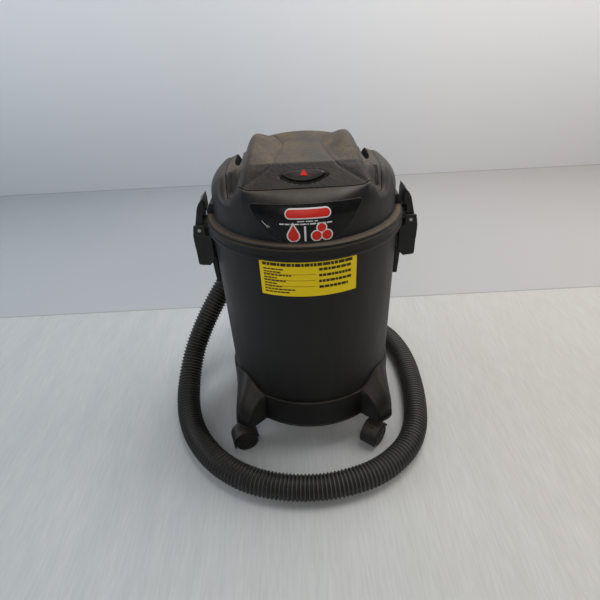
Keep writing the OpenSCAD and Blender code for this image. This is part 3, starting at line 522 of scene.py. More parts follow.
def cover_height(x, y):
    side = abs(x)
    front = COVER_TOP - 41 + (y + COVER_HALF_D) * FRONT_RISE
    back = COVER_TOP - 40 + (COVER_HALF_D - y) * 0.9
    panel = COVER_TOP - 15 + (y + 76) * PANEL_RISE
    base = soft_min(soft_min(front, panel, 1.6), back, 18)
    base -= 5.0 * ease((y + 60) / 80) * (min(side, 48) / 48) ** 2
    edge = along(PANEL_EDGE, y)
    out = side - edge
    lift = max(0.0, COVER_TOP + along(RIDGE, y) - base)
    z = base + lift * ease(out / max(HUMP_X - edge, 12.0))
    z -= 0.9 * math.exp(-(out / 1.1) ** 2)
    wall = COVER_TOP - 8 - (side - 75 - 2 * ease((-y - 40) / 50)) * WALL_RISE
    z = soft_min(z, wall, 34)
    wing = COVER_TOP - 37 + min(106 - side, 17) * WING_RISE - 25 * ease((abs(y) - 38) / 36)
    z = soft_max(z, wing, 2.5)
    off_slot = side - SLOT_X + 0.0011 * (y - SLOT_Y) ** 2
    z -= SLOT_DEEP * ease(2.2 * (1 - math.hypot(off_slot / SLOT_HALF_W, (y - SLOT_Y) / SLOT_HALF_L)))
    pocket = lens(x, (y - SWITCH_Y) * FACE_STRETCH, POCKET_LONG, POCKET_HIGH)
    z -= POCKET_DEEP * ease(9 * (1 - pocket))
    return z


def lens(u, v, half_long, half_high):
    """Below 1 inside a lens-shaped outline, level along its top edge and bowed along its lower edge."""
    share = min(1.0, abs(u) / half_long)
    bow = half_high * (1 - share ** 2.2)
    edge = max(0.01, bow if v < 0 else 0.62 * half_high * (1 - share ** 5))
    return max(abs(u) / half_long, abs(v) / edge)


def cover_outline():
    """The seam between lid and cover, anticlockwise from the front, as (x, y)."""
    half = [(0, -99.5), (30, -99.5), (60, -99.3), (74, -98.6), (79, -96.2), (84, -91), (92, -82), (98, -75.6),
            (100.8, -72.2), (102.2, -69), (103.8, -58), (105.3, -40), (106, -18), (106, 8), (105, 34),
            (102.5, 58), (98, 76), (90, 88), (78, 95), (60, 98.5), (30, 99.5), (0, 99.5)]
    right = []
    for a, b in zip(half, half[1:]):
        steps = max(1, round(math.dist(a, b) / 2.2))
        right += [(a[0] + (b[0] - a[0]) * k / steps, a[1] + (b[1] - a[1]) * k / steps) for k in range(steps)]
    left = [(-x, y) for x, y in right[1:]]
    return right + [(0, half[-1][1])] + left[::-1]


OUTLINE = cover_outline()
SEAM_GAP = 0.9


def make_cover(material):
    rings = 96
    skirt = 7.0
    points = [(0, 0, cover_height(0, 0))]
    for share in [(k + 1) / rings for k in range(rings)]:
        for x, y in OUTLINE:
            reach = share * (1 - SEAM_GAP / math.hypot(x, y))
            points.append((x * reach, y * reach, cover_height(x * reach, y * reach)))
    for drop, inset in ((0.8, 0.0), (skirt, 0.4)):
        for x, y in OUTLINE:
            reach = 1 - (SEAM_GAP + 0.6 + inset) / math.hypot(x, y)
            points.append((x * reach, y * reach, cover_height(x, y) - drop))
    n = len(OUTLINE)
    faces = [(0, 1 + (c + 1) % n, 1 + c) for c in range(n)]
    faces += [tuple(1 + i for i in f) for f in grid_faces(rings + 2, n)]
    cover = new_piece("cover_shell", points, faces, material, 50)
    wall = cover.modifiers.new("wall", "SOLIDIFY")
    wall.thickness = 2.6 * MM
    wall.offset = -1
    return cover


def lid_radius(angle, z):
    """Radius of the lid's outer face at an angle and height, up to the seam."""
    seam_r, seam_z = seam_at(angle)
    if z <= LID_SHOULDER:
        return LID_WALL_R - LID_DRAFT * (z - FLANGE_LOW)
    shoulder_r = LID_WALL_R - LID_DRAFT * (LID_SHOULDER - FLANGE_LOW)
    up = min(1.0, (z - LID_SHOULDER) / (seam_z - LID_SHOULDER))
    turn = math.asin(up)
    return shoulder_r + (seam_r - shoulder_r) * (1 - math.cos(turn))


SEAM = sorted((math.atan2(y, x), math.hypot(x, y), cover_height(x, y)) for x, y in OUTLINE)


def seam_at(angle):
    """Radius and height of the seam at an angle round the lid."""
    angle = math.atan2(math.sin(angle), math.cos(angle))
    for (a, ra, za), (b, rb, zb) in zip(SEAM, SEAM[1:]):
        if a <= angle <= b:
            t = (angle - a) / (b - a) if b > a else 0
            return ra + (rb - ra) * t, za + (zb - za) * t
    return SEAM[0][1], SEAM[0][2]


def make_lid(material):
    columns = [(math.atan2(y, x), math.hypot(x, y), cover_height(x, y)) for x, y in OUTLINE]
    low = FLANGE_LOW
    shoulder_r = LID_WALL_R - LID_DRAFT * (LID_SHOULDER - low)
    steps = 14
    flange = [(FLANGE_R - 0.8, low), (FLANGE_R, low + 0.7), (FLANGE_R, low + 2.8),
              (FLANGE_R - 0.8, low + 3.5)]
    wall = [(LID_WALL_R + 1.4, low + 3.9), (LID_WALL_R + 0.3, low + 4.9), (LID_WALL_R - 0.1, low + 8),
            (LID_WALL_R - LID_DRAFT * 20, low + 20)]
    rows = [[corner] * len(columns) for corner in flange + wall]
    for k in range(steps + 1):
        turn = math.pi / 2 * k / steps
        rows.append([(shoulder_r + (r - shoulder_r) * (1 - math.cos(turn)),
                      LID_SHOULDER + (z - LID_SHOULDER) * math.sin(turn)) for _, r, z in columns])
    for inset, drop in ((0.35, 0.5), (0.5, 8), (3.0, 8)):
        rows.append([(r - inset, z - drop) for _, r, z in columns])
    for k in (10, 6, 3, 0):
        turn = math.pi / 2 * k / steps
        rows.append([(shoulder_r - 3 + (r - shoulder_r) * (1 - math.cos(turn)),
                      LID_SHOULDER - 4 + (z - LID_SHOULDER) * math.sin(turn) * 0.8) for _, r, z in columns])
    rows.append([(LID_WALL_R - 3, low)] * len(columns))
    points = [(radius * math.cos(a), radius * math.sin(a), z)
              for row in rows for (radius, z), (a, _, _) in zip(row, columns)]
    return new_piece("lid_shell", points, grid_faces(len(rows), len(columns), True), material, 40)


# ---- caster base
# Top edge of the base round one quarter, by angle from the X axis.
ARCH = [(0, 102), (14, 102), (18, 105), (24, 115), (30, 121.5), (38, 124), (44, 118.5), (49.5, 107.5),
        (54, 102.3), (60, 102), (90, 102)]
# Plan outline of a leg's foot in one quarter, from the ring round its two outer corners to the ring again.
FOOT = [(129.5, 36), (129, 110), (127, 121), (121, 127.5), (107, 135.5), (101, 133.5), (78, 113)]


def foot_radius(angle):
    """Reach of the foot's outline at an angle in degrees from the X axis, or 0 outside it."""
    best = 0.0
    c, s = math.cos(math.radians(angle)), math.sin(math.radians(angle))
    for (xa, ya), (xb, yb) in zip(FOOT, FOOT[1:]):
        dx, dy = xb - xa, yb - ya
        det = dx * s - dy * c
        if abs(det) < 1e-9:
            continue
        t = (ya * c - xa * s) / det
        reach = (xa * dy - ya * dx) / (c * dy - s * dx)
        if -1e-6 <= t <= 1 + 1e-6 and reach > 0:
            best = max(best, reach)
    return best


def make_base(material):
    quarter = [k * 2.0 for k in range(8)] + [16 + k * 1.0 for k in range(34)]
    quarter += [50 + k * 0.3 for k in range(20)] + [56 + k * 2.0 for k in range(17)]
    angles = quarter + [180 - a for a in quarter[::-1]][1:]
    angles += [a + 180 for a in angles[1:-1]]
    ring = tank_radius(102) + 3.9
    low = BASE_LOW
    levels = 22
    columns = []
    for angle in angles:
        q = angle % 180
        q = q if q <= 90 else 180 - q
        top = along(ARCH, q)
        foot = max(ring, foot_radius(q))
        inner = tank_radius(top) + 0.3
        column = [(inner, top), (inner + 2.4, top - 0.1), (inner + 3.3, top - 1.1)]
        for k in range(1, levels + 1):
            share = k / levels
            z = top - 1.1 - (top - 1.1 - low - 3) * share
            flare = 1 - (1 - share) ** 2.4
            start = tank_radius(z) + 3.6
            column.append((start + (max(foot, start) - start) * flare, z))
        last = column[-1][0]
        column += [(last + r, low + z)
                   for r, z in ((0.9, 2.2), (1.1, 0.5), (0.4, 0), (-2.6, 0), (-3.0, 9))]
        column += [(ring + r, low + z) for r, z in ((-8, 9), (-8.5, 0.2), (-16, 0.2), (-16, 3.6))]
        column.append((tank_radius(low + 5) + 0.2, low + 3.7))
        turn = math.radians(angle)
        columns.append([(r * math.cos(turn), r * math.sin(turn), z) for r, z in column])
    points = [column[k] for k in range(len(columns[0])) for column in columns]
    return new_piece("base_shell", points, grid_faces(len(columns[0]), len(columns), True), material, 32)


# ---- repeated details, grown by Geometry Nodes
class Grower:
    """A Geometry Nodes tree with named inputs. What it makes of a start object is kept as a mesh."""

    def __init__(self, name, **inputs):
        self.tree = bpy.data.node_groups.new(name, "GeometryNodeTree")
        face = self.tree.interface
        face.new_socket("Geometry", in_out="INPUT", socket_type="NodeSocketGeometry")
        for label, kind in {**inputs, "Material": "Material"}.items():
            face.new_socket(label, in_out="INPUT", socket_type="NodeSocket" + kind)
        face.new_socket("Geometry", in_out="OUTPUT", socket_type="NodeSocketGeometry")
        self.start = self.tree.nodes.new("NodeGroupInput").outputs
        self.end = self.tree.nodes.new("NodeGroupOutput").inputs[0]

    def add(self, kind, settings=(), inputs=(), outlet=0):
        """A node whose inputs, by name or number, are linked or set."""
        node = self.tree.nodes.new(kind)
        for key, value in dict(settings).items():
            setattr(node, key, value)
        for key, value in dict(inputs).items():
            if isinstance(value, bpy.types.NodeSocket):
                self.tree.links.new(value, node.inputs[key])
            else:
                node.inputs[key].default_value = value
        return node.outputs[outlet]

    def maths(self, operation, a, b=0.0):
        return self.add("ShaderNodeMath", {"operation": operation}, {0: a, 1: b})

    def vectors(self, operation, inputs):
        return self.add("ShaderNodeVectorMath", {"operation": operation}, inputs)

    def keep(self, geometry, name, value, kind="FLOAT"):
        """Stores a value on every point under a name."""
        return self.add("GeometryNodeStoreNamedAttribute", {"data_type": kind, "domain": "POINT"},
                        {"Geometry": geometry, "Name": name, "Value": value})

    def recall(self, name, kind="FLOAT"):
        return self.add("GeometryNodeInputNamedAttribute", {"data_type": kind}, {"Name": name})

    def close(self, geometry):
        real = self.add("GeometryNodeRealizeInstances", (), {"Geometry": geometry})
        painted = self.add("GeometryNodeSetMaterial", (),
                           {"Geometry": real, "Material": self.start["Material"]})
        self.tree.links.new(painted, self.end)

    def bake(self, name, start, smooth_below, turned=None, **values):
        grow = start.modifiers.new("grow", "NODES")
        grow.node_group = self.tree
        sockets = self.tree.interface.items_tree
        names = {item.name: item.identifier for item in sockets if item.in_out == "INPUT"}
        for key, value in values.items():
            grow[names[key]] = value
        bpy.context.view_layer.update()
        grown = start.evaluated_get(bpy.context.evaluated_depsgraph_get())
        mesh = bpy.data.meshes.new_from_object(grown)
        bpy.data.objects.remove(start)
        if turned is not None:
            mesh.transform(turned)
        mesh.name = name
        piece = new_object(name, mesh)
        tidy(piece, smooth_below)
        return piece


def line_start(points):
    """A curve through the points, for a Grower to start from."""
    curve = bpy.data.curves.new("start", "CURVE")
    curve.dimensions = "3D"
    spline = curve.splines.new("POLY")
    spline.points.add(len(points) - 1)
    for point, place_at in zip(spline.points, points):
        point.co = (*place_at, 1)
    return new_object("start", curve)


def corrugated_hose():
    """Tree: a curve becomes a tube whose wall waves in and out along its length."""
    g = Grower("corrugated_hose", Pitch="Float", Radius="Float", Groove="Float", Sides="Int", Steps="Float")
    step = g.maths("DIVIDE", g.start["Pitch"], g.start["Steps"])
    line = g.add("GeometryNodeResampleCurve", {"mode": "LENGTH"},
                 {"Curve": g.start["Geometry"], "Length": step})
    line = g.keep(line, "reach", g.add("GeometryNodeSplineParameter", outlet="Length"))
    line = g.keep(line, "middle", g.add("GeometryNodeInputPosition"), "FLOAT_VECTOR")
    ring = g.add("GeometryNodeCurvePrimitiveCircle", {"mode": "RADIUS"},
                 {"Resolution": g.start["Sides"], "Radius": g.start["Radius"]})
    tube = g.add("GeometryNodeCurveToMesh", (), {"Curve": line, "Profile Curve": ring, "Fill Caps": True})
    middle = g.recall("middle", "FLOAT_VECTOR")
    turns = g.maths("MULTIPLY", g.maths("DIVIDE", g.recall("reach"), g.start["Pitch"]), 2 * math.pi)
    wave = g.maths("MULTIPLY_ADD", g.maths("COSINE", turns), -0.5)
    wave.node.inputs[2].default_value = 0.5
    wave = g.maths("POWER", wave, 0.62)
    tube = g.keep(tube, "groove", wave)
    deep = g.maths("DIVIDE", g.start["Groove"], g.start["Radius"])
    share = g.maths("SUBTRACT", 1.0, g.maths("MULTIPLY", wave, deep))
    out = g.vectors("SUBTRACT", {0: g.add("GeometryNodeInputPosition"), 1: middle})
    out = g.vectors("SCALE", {0: out, "Scale": share})
    spot = g.vectors("ADD", {0: out, 1: middle})
    g.close(g.add("GeometryNodeSetPosition", (), {"Geometry": tube, "Position": spot}))
    return g


def row_of_bars():
    """Tree: the same small bar repeated along a straight line."""
    g = Grower("row_of_bars", Count="Int", Step="Vector", First="Vector", Size="Vector", Turn="Vector")
    line = g.add("GeometryNodeMeshLine", {"mode": "OFFSET"},
                 {"Count": g.start["Count"], "Start Location": g.start["First"], "Offset": g.start["Step"]})
    bar = g.add("GeometryNodeMeshCube", (), {"Size": g.start["Size"]})
    g.close(g.add("GeometryNodeInstanceOnPoints", (),
                  {"Points": line, "Instance": bar, "Rotation": g.start["Turn"]}))
    return g


HOSE_TREE = corrugated_hose()
BARS_TREE = row_of_bars()


def bars(name, material, count, step, first, size, turn=(0, 0, 0), turned=None):
    """A row of bars, in millimetres, moved into place by the matrix turned (in metres)."""
    start = new_object("start", bpy.data.meshes.new("start"))
    return BARS_TREE.bake(name, start, 20, turned, Count=count, Step=[v * MM for v in step],
                          First=[v * MM for v in first], Size=[v * MM for v in size], Turn=list(turn),
                          Material=MATERIALS[material])


# ---- hose
# Where the hose's centreline goes: out of the elbow at the back, down the left side, round the front,
# up the right side and along the back. The last point is where the tool cuff starts.
HOSE_WAY = [
    (-60.62, 200.2, 250.5), (-97, 191, 227), (-126, 168, 204), (-152, 139, 178), (-177, 108, 149),
    (-202, 76, 112), (-220, 42, 76), (-227, -2, 46), (-223, -52, 29), (-209, -97, 22), (-188, -135, 21),
    (-163, -166, 21), (-135, -190, 21), (-102, -209, 21), (-66, -221, 21), (-28, -227, 21),
    (11, -227, 21), (50, -220, 21), (88, -207, 21), (122, -185, 21), (151, -154, 21), (171, -112, 21),
    (182, -60, 21), (187, -6, 21), (187, 48, 21), (179, 98, 21), (162, 141, 21), (132, 176, 21),
    (89, 200, 21), (36, 215, 21), (-20, 219, 21), (-70, 213, 21)]
HOSE_D = 0.041
HOSE_PITCH = 0.0060


def smooth_way(points, steps=14):
    """A smooth line through the points, in metres."""
    ends = [points[0], *points, points[-1]]
    way = []
    for i in range(len(points) - 1):
        p0, p1, p2, p3 = (Vector(p) for p in ends[i:i + 4])
        for k in range(steps):
            t = k / steps
            way.append(0.5 * ((2 * p1) + (p2 - p0) * t + (2 * p0 - 5 * p1 + 4 * p2 - p3) * t * t
                              + (3 * p1 - p0 - 3 * p2 + p3) * t ** 3) * MM)
    way.append(Vector(points[-1]) * MM)
    return [tuple(p) for p in way]


def make_hose():
    way = smooth_way(HOSE_WAY)
    hose = HOSE_TREE.bake("corrugated_hose", line_start(way), 80, None, Pitch=HOSE_PITCH, Radius=HOSE_D / 2,
                          Groove=0.0031, Sides=30, Steps=6.0, Material=MATERIALS["hose_plastic"])
    place(hose, "drum", "hose_plastic", "hose")


# ---- label film and print
def front_of_tank(a, z):
    return tank_radius(z)


def front_of_lid(a, z):
    return lid_radius(-math.pi / 2 + a / LID_R, z)


ART_SHOULDER = 408.5     # the shoulder height that the head label's artwork was laid out for
FILM_BACK = -0.8         # how deep a label film's back lies in the wall, so that it never shows a gap
INK_T = 0.25


def on_surface(surface, scale_r, a, z, lift):
    """A point at arc length a from the middle of the front, at height z, lifted off the surface."""
    angle = -math.pi / 2 + a / scale_r
    radius = surface(a, z) + lift
    return radius * math.cos(angle), radius * math.sin(angle), z


def film(name, surface, scale_r, left, right, rows, low, high, lift, material):
    """A closed sheet of film between the edges left(v) and right(v), from low(a) up to high(a)."""
    columns = 56
    outer, inner = [], []
    for r in range(rows + 1):
        v = r / rows
        for c in range(columns + 1):
            a = left(v) + (right(v) - left(v)) * c / columns
            z = low(a) + (high(a) - low(a)) * v
            outer.append(on_surface(surface, scale_r, a, z, lift))
            inner.append(on_surface(surface, scale_r, a, z, FILM_BACK))
    n = columns + 1
    faces = grid_faces(rows + 1, n, False, False)
    back = [tuple(len(outer) + i for i in f[::-1]) for f in faces]
    rim = list(range(n)) + [r * n + n - 1 for r in range(1, rows + 1)]
    rim += [rows * n + c for c in range(n - 2, -1, -1)] + [r * n for r in range(rows - 1, 0, -1)]
    side = [(rim[k], rim[k - 1], len(outer) + rim[k - 1], len(outer) + rim[k]) for k in range(len(rim))]
    return new_piece(name, outer + inner, faces + back + side, material, 40)


def ink(name, surface, scale_r, shapes, lift, material):
    """Flat printed shapes, each a convex outline of (arc, height) points, as very thin closed plates."""
    bm = bmesh.new()
    for shape in shapes:
        bm.faces.new([bm.verts.new((a, z, 0)) for a, z in shape])
    for axis, spacing in ((0, 4.0), (1, 2.0)):
        spread = [vert.co[axis] for vert in bm.verts]
        cut = math.ceil(min(spread) / spacing) * spacing
        while cut < max(spread):
            spot = [cut if k == axis else 0 for k in range(3)]
            facing = [1 if k == axis else 0 for k in range(3)]
            every = bm.verts[:] + bm.edges[:] + bm.faces[:]
            bmesh.ops.bisect_plane(bm, geom=every, plane_co=spot, plane_no=facing)
            cut += spacing
    grown = bmesh.ops.extrude_face_region(bm, geom=bm.faces[:], use_keep_orig=True)
    for item in grown["geom"]:
        if isinstance(item, bmesh.types.BMVert):
            item.co.z = -INK_T
    bm.verts.index_update()
    points = [on_surface(surface, scale_r, v.co.x, v.co.y, lift + v.co.z) for v in bm.verts]
    faces = [[v.index for v in face.verts] for face in bm.faces]
    bm.free()
    return new_piece(name, points, faces, material, 30)


def block(a0, a1, z0, z1):
    """A rectangle, in a list of its own so that it adds to other shapes."""
    return [[(a0, z0), (a1, z0), (a1, z1), (a0, z1)]]


def disc(a, z, radius, sides=18):
    turns = [2 * math.pi * k / sides for k in range(sides)]
    return [(a + radius * math.cos(t), z + radius * math.sin(t)) for t in turns]


def capsule(a0, a1, z, half):
    """A bar with round ends."""
    return [[(x + s * half * math.sin(math.pi * k / 10), z - s * half * math.cos(math.pi * k / 10))
             for x, s in ((a1 - half, 1), (a0 + half, -1)) for k in range(11)]]


def drop(a, z, radius):
    """A drop: a disc below and a point above."""
    lower = [(a + radius * math.cos(t), z + radius * math.sin(t))
             for t in (math.pi * (-1.18 + 1.36 * k / 14) for k in range(15))]
    return [lower + [(a, z + radius * 2.1)]]


def make_decal():
    def half(v):
        end = max(0.0, (abs(2 * v - 1) - 0.86) / 0.14)
        return (36.0 + 41.5 * v ** 0.75) - 5.0 * (1 - math.sqrt(max(0.0, 1 - end * end)))

    def top(a):
        return LID_SHOULDER + 17.8 - 1.5 * min(1.0, (a / 77) ** 2)

    low = FLANGE_LOW + 5.5
    decal = film("front_decal", front_of_lid, LID_R, lambda v: -half(v), half, 16, lambda a: low, top, 0.45,
                 "label_black")
    place(decal, "head", "label_black", "head_label")
    edge = [(half(v / 24), v / 24) for v in range(25)]
    ring = edge + [(half(1) - 4 * k, 1.0) for k in range(1, int(half(1) / 2))]
    ring += [(-h, v) for h, v in edge[::-1]]
    ring += [(4 * k - half(0), 0.0) for k in range(1, int(half(0) / 2))]
    path = [on_surface(front_of_lid, LID_R, a, low + (top(a) - low) * v, 0.3) for a, v in ring]
    lip = ring_bead("decal_lip", path, 0.75, "head_plastic")
    place(lip, "head", "head_plastic")
    s = LID_SHOULDER - ART_SHOULDER
    white = capsule(-27, 31, 416.2 + s, 6.4)
    for a0, a1, z in ((-12, -3, 406.9), (-1, 8, 406.9), (10, 14, 406.9)):
        white += block(a0, a1, z + s - 0.6, z + s + 0.6)
    marks = [-34, -27, -20, -16, -8, 1, 4, 13, 22, 25, 33]
    for k, a0 in enumerate(marks[:-1]):
        white += block(a0, marks[k + 1] - 1.3, 402.6 + s, 404.2 + s)
    white += block(-3.4, -1.0, 380.5 + s, 400.5 + s)
    white += drop(-17.0, 388.0 + s, 8.6)
    white += [disc(12, 387.4 + s, 7.6), disc(25, 387.4 + s, 7.6), disc(18.5, 397.6 + s, 7.0)]
    red = capsule(-25.6, 29.6, 416.2 + s, 4.9)
    red += drop(-17.0, 388.0 + s, 6.9)
    red += [disc(12, 387.4 + s, 6.1), disc(25, 387.4 + s, 6.1), disc(18.5, 397.6 + s, 5.5)]
    scratch = [[(-57.5, 405.5 + s), (-49.3, 397.2 + s), (-48.9, 397.6 + s), (-57.0, 405.9 + s)],
               [(-50.5, 400.6 + s), (-46.5, 398.2 + s), (-46.3, 398.6 + s), (-50.2, 401.0 + s)]]
    for name, shapes, lift, tone in (("lid_scratch", scratch, 0.55, "print_white"),
                                     ("decal_white", white, 0.58, "print_white"),
                                     ("decal_red", red, 0.70, "print_red")):
        place(ink(name, front_of_lid, LID_R, shapes, lift, tone), "head", "label_black")


def ring_bead(name, path, radius, material, sides=8):
    """A thin closed bead along a closed path."""
    points = []
    n = len(path)
    for k in range(n):
        ahead = (Vector(path[(k + 1) % n]) - Vector(path[k - 1])).normalized()
        here = Vector(path[k])
        out = Vector((here.x, here.y, 0)).normalized()
        side = ahead.cross(out).normalized()
        for j in range(sides):
            t = 2 * math.pi * j / sides
            points.append(tuple(here + radius * (out * math.cos(t) + side * math.sin(t))))
    return new_piece(name, points, grid_faces(n, sides, True), material, 60)


def make_label_print():
    low, high = box_mm("tank_label")[0][2], box_mm("tank_label")[1][2]
    reach = math.radians(27.5) * TANK_TOP_R
    black, rules = [], []
    picker = random.Random(7)

    def words(a0, a1, z, tall, longest=9.0):
        a = a0
        while a < a1 - 2:
            step = picker.uniform(3.0, longest)
            black.extend(block(a, min(a + step, a1), z - tall / 2, z + tall / 2))
            a += step + 0.9

    words(-reach + 4.5, reach - 6, high - 6.2, 4.4, 11)
    for k in range(9):
        z = high - 13.4 - 4.35 * k
        words(-reach + 5.5, -reach + 5.5 + (30, 24, 38, 18, 30, 17, 24, 44, 34)[k], z, 2.0, 6)
    for k in range(4):
        words(reach - 53, reach - 53 + (46, 44, 46, 40)[k], high - 13.6 - 8.8 * k, 3.9, 7)
    for k in range(3):
        rules.extend(block(-reach + 5, 9, high - 20.6 - 9.1 * k, high - 20.1 - 9.1 * k))
    for name, shapes, tone in (("label_words", black, "print_black"), ("label_rules", rules, "print_rule")):
        place(ink(name, front_of_tank, TANK_TOP_R, shapes, 0.72, tone), "drum", "label_yellow")


# ---- rim, latches, switch and casters
def make_rim_trim():
    """The dust on the lid's flange, the ledge on top of the rim and the step below it."""
    settled = [(LID_R + 1.9, 3.4), (LID_R + 3.0, 3.9), (FLANGE_R - 2.2, 3.75), (FLANGE_R - 0.9, 3.3),
               (FLANGE_R - 2.0, 3.0), (LID_R + 2.5, 3.0)]
    settled = [(r, FLANGE_LOW + z) for r, z in settled]
    place(lathe("flange_dust", settled, "settled_dust"), "head", "head_plastic")
    top = [(-4.5, -0.2), (-1.2, 0.25), (0.1, -0.3), (0.55, -1.3), (0.45, -2.6), (-0.5, -3.2), (-4.5, -3)]
    low = [(-2, -11.2), (0.5, -11.6), (1.0, -12.6), (1.0, -15.8), (0.2, -17.2), (-2.0, -17.6)]
    top, low = ([(RIM_R + r, RIM_TOP + z) for r, z in profile] for profile in (top, low))
    place(lathe("rim_ledge", top, "rim_dust"), "drum", "tank_plastic")
    place(lathe("rim_step", low, "tank_plastic"), "drum", "tank_plastic")


def softened(node, voxel, rounds):
    """Rounds a moulded piece's edges, as a mould leaves them."""
    skin = NODES[node].modifiers.new("skin", "REMESH")
    skin.mode = "VOXEL"
    skin.voxel_size = voxel * MM
    skin.use_smooth_shade = True
    rub = NODES[node].modifiers.new("rub", "SMOOTH")
    rub.factor = 0.5
    rub.iterations = rounds


def make_latch_ribs():
    """Slanted grip ribs on the outer face of each latch's fin."""
    for side, name in ((-1, "left"), (1, "right")):
        (x0, _, z0), (x1, _, z1) = box_mm("latch_" + name)
        outer = x0 if side < 0 else x1
        lean = Matrix.Rotation(math.radians(-side * 14), 4, "Y")
        spot = Matrix.Translation(((outer - side * 9.2) * MM, 0, (z1 - 20) * MM))
        ribs = bars("latch_ribs_" + name, "inlet_plastic", 7, (0, 4.6, 0), (0, -13.8, 0),
                    (1.6, 1.7, 22), (math.radians(side * 24), 0, 0), spot @ lean)
        place(ribs, "latch_" + name, "inlet_plastic")


def make_switch():
    """A lens-shaped rocker with a ribbed upper edge and a red mark, in the pocket on the cover's front."""
    turned = Matrix.Translation((0, SWITCH_Y * MM, SWITCH_Z * MM)) @ Matrix.Rotation(math.radians(45), 4, "X")
    half_long, half_high = 28.5, 9.4
    edge = []
    for k in range(33):
        u = -half_long + 2 * half_long * k / 32
        edge.append((u, -half_high * (1 - (abs(u) / half_long) ** 2.2)))
    for k in range(1, 32):
        u = half_long - 2 * half_long * k / 32
        edge.append((u, 0.62 * half_high * (1 - (abs(u) / half_long) ** 5)))
    points = []
    for level, share in ((-3.2, 0.96), (0.4, 1.0), (1.0, 0.985), (1.35, 0.95), (1.9, 0.6), (2.1, 0.2)):
        points += [(u * share, v * share, level) for u, v in edge]
    n = len(edge)
    rows = len(points) // n
    points += [(0, 0, 2.15), (0, 0, -3.2)]
    faces = grid_faces(rows, n)
    faces += [((rows - 1) * n + k, (rows - 1) * n + (k + 1) % n, rows * n) for k in range(n)]
    faces += [((k + 1) % n, k, rows * n + 1) for k in range(n)]
    rocker = new_piece("rocker", points, faces, "switch_plastic", 40)
    rocker.data.transform(turned)
    place(rocker, "switch", "switch_plastic", "switch_rocker")
    ribs = bars("rocker_ribs", "switch_plastic", 21, (2.1, 0, 0), (-21, 3.2, 1.5), (0.9, 3.6, 1.5),
                turned=turned)
    place(ribs, "switch", "switch_plastic")
    mark = [(-5.2, -2.6), (4.6, -3.4), (0.2, 5.4)]
    points = [(u, v, z) for z in (1.7, 2.75) for u, v in mark]
    sign = new_piece("rocker_mark", points, prism_faces(3), "print_red", 20)
    sign.data.transform(turned)
    place(sign, "switch", "switch_plastic")
    corners = [(x, y, z) for z in (-12, -8.5) for x, y in ((-20, -5), (20, -5), (20, 5), (-20, 5))]
    seat = new_piece("switch_seat", corners, prism_faces(4), "switch_plastic", 20)
    seat.data.transform(turned)
    place(seat, "head", "switch_plastic", "switch_body")


def make_grilles():
    """Small mesh screens in the hollows at the cover's front corners."""
    for side in (-1, 1):
        low_z, high_z = cover_height(95, -64), cover_height(95, -44)
        rise = (high_z - low_z) / 20
        screen = bars(f"screen_{side + 2}", "inner_plastic", 9, (0, 2.5, 2.5 * rise),
                      (side * 95.5, -64, low_z + 0.25), (8.5, 0.9, 0.9))
        place(screen, "head", "inner_plastic")
        wires = bars(f"screen_wires_{side + 2}", "inner_plastic", 4, (side * 2.3, 0, 0),
                     (side * 92.1, -54, (low_z + high_z) / 2 + 0.35), (0.8, 22, 0.8), (math.atan(rise), 0, 0))
        place(wires, "head", "inner_plastic")


def make_lugs():
    """The lid's lugs that the latches press on."""
    for side in (-1, 1):
        x0, x1 = sorted((side * (LID_R - 2), side * (FLANGE_R - 0.6)))
        outline = [(x0, FLANGE_LOW + 2), (x1, FLANGE_LOW + 2)]
        top = FLANGE_LOW + 18
        outline += [(x1, top - (9 if side > 0 else 0)), (x1 - (5 if side > 0 else 0), top),
                    (x0 + (5 if side < 0 else 0), top), (x0, top - (9 if side < 0 else 0))]
        points = [(x, y, z) for y in (-17, 17) for x, z in outline]
        lug = new_piece(f"lid_lug_{side + 2}", points, prism_faces(len(outline)), "head_plastic", 20)
        place(lug, "head", "head_plastic")


WHEEL_HALF_T = 4.25
WHEEL_BORE_R = 2.15


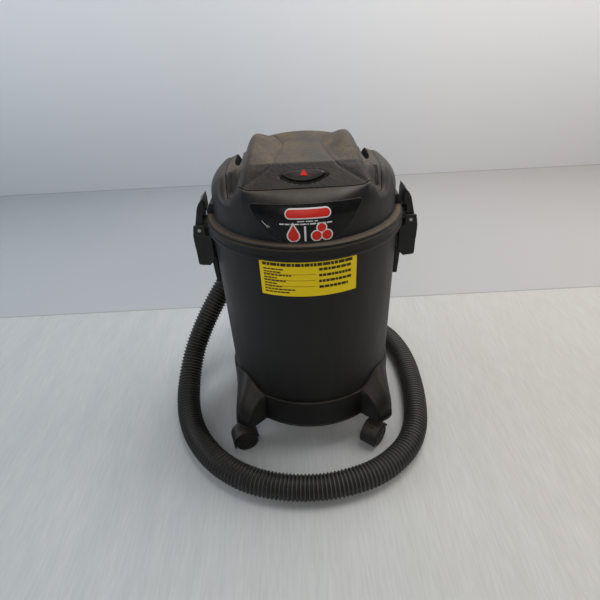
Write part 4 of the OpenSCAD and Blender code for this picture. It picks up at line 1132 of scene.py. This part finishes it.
def make_wheel(corner, side):
    """A caster wheel with a stepped face, turned about its own axle."""
    name = f"wheel_{corner}_{side}"
    other = f"wheel_{corner}_{'in' if side == 'out' else 'out'}"
    middle = [sum(ends) / 2 for ends in zip(*box_mm(name))]
    far = [sum(ends) / 2 for ends in zip(*box_mm(other))]
    axis = Vector((middle[0] - far[0], middle[1] - far[1], 0)).normalized()
    across = Vector((0, 0, 1)).cross(axis)
    radius = (box_mm(name)[1][2] - box_mm(name)[0][2]) / 2
    half, bore = WHEEL_HALF_T, WHEEL_BORE_R
    tread = [(half - 2.6, bore), (-half, bore), (-half, radius - 1.2), (-half + 0.5, radius - 0.3),
             (-half + 1.4, radius), (half - 1.8, radius), (half - 0.8, radius - 0.5),
             (half - 0.15, radius - 1.6)]
    face = [(half, radius - 2.6), (half - 0.2, radius - 3.4), (half - 1.0, radius - 3.9),
            (half - 1.1, radius - 4.6), (half - 0.6, radius - 5.2), (half - 0.5, 8.4), (half - 0.9, 7.7),
            (half - 0.9, 6.6), (half - 0.35, 6.0), (half - 0.1, 4.5), (half, 1.0)]
    profile = tread + face
    segments = 72
    points = []
    for along_axle, r in profile:
        for k in range(segments):
            t = 2 * math.pi * k / segments
            spoke = across * math.cos(t) + Vector((0, 0, math.sin(t)))
            points.append(tuple(Vector(middle) + axis * along_axle + spoke * r))
    faces = grid_faces(len(profile), segments)
    last = (len(profile) - 1) * segments
    faces += [tuple(range(last, last + segments)), tuple(range(segments - 1, -1, -1))]
    wheel = new_piece(name + "_turned", points, faces, "wheel_plastic", 30)
    place(wheel, name, "wheel_plastic", name)


place(make_cover("cover_plastic"), "head", "cover_plastic", "top_cover")
place(make_lid("head_plastic"), "head", "head_plastic", "lid")
place(make_base("tank_plastic"), "drum", "tank_plastic", "dolly")
make_hose()
make_decal()
make_label_print()
make_rim_trim()
make_latch_ribs()
make_switch()
make_grilles()
make_lugs()
for corner in ("fl", "fr", "rl", "rr"):
    make_wheel(corner, "in")
    make_wheel(corner, "out")
    softened("caster_hood_" + corner, 0.8, 4)
for side in ("left", "right"):
    softened("latch_bracket_" + side, 1.1, 4)
    softened("latch_" + side, 1.0, 4)

for row in frame["record"]["subparts"]:
    node = NODES[row["node"]]
    node.data.materials.clear()
    node.data.materials.append(MATERIALS[row["material_slot"]])
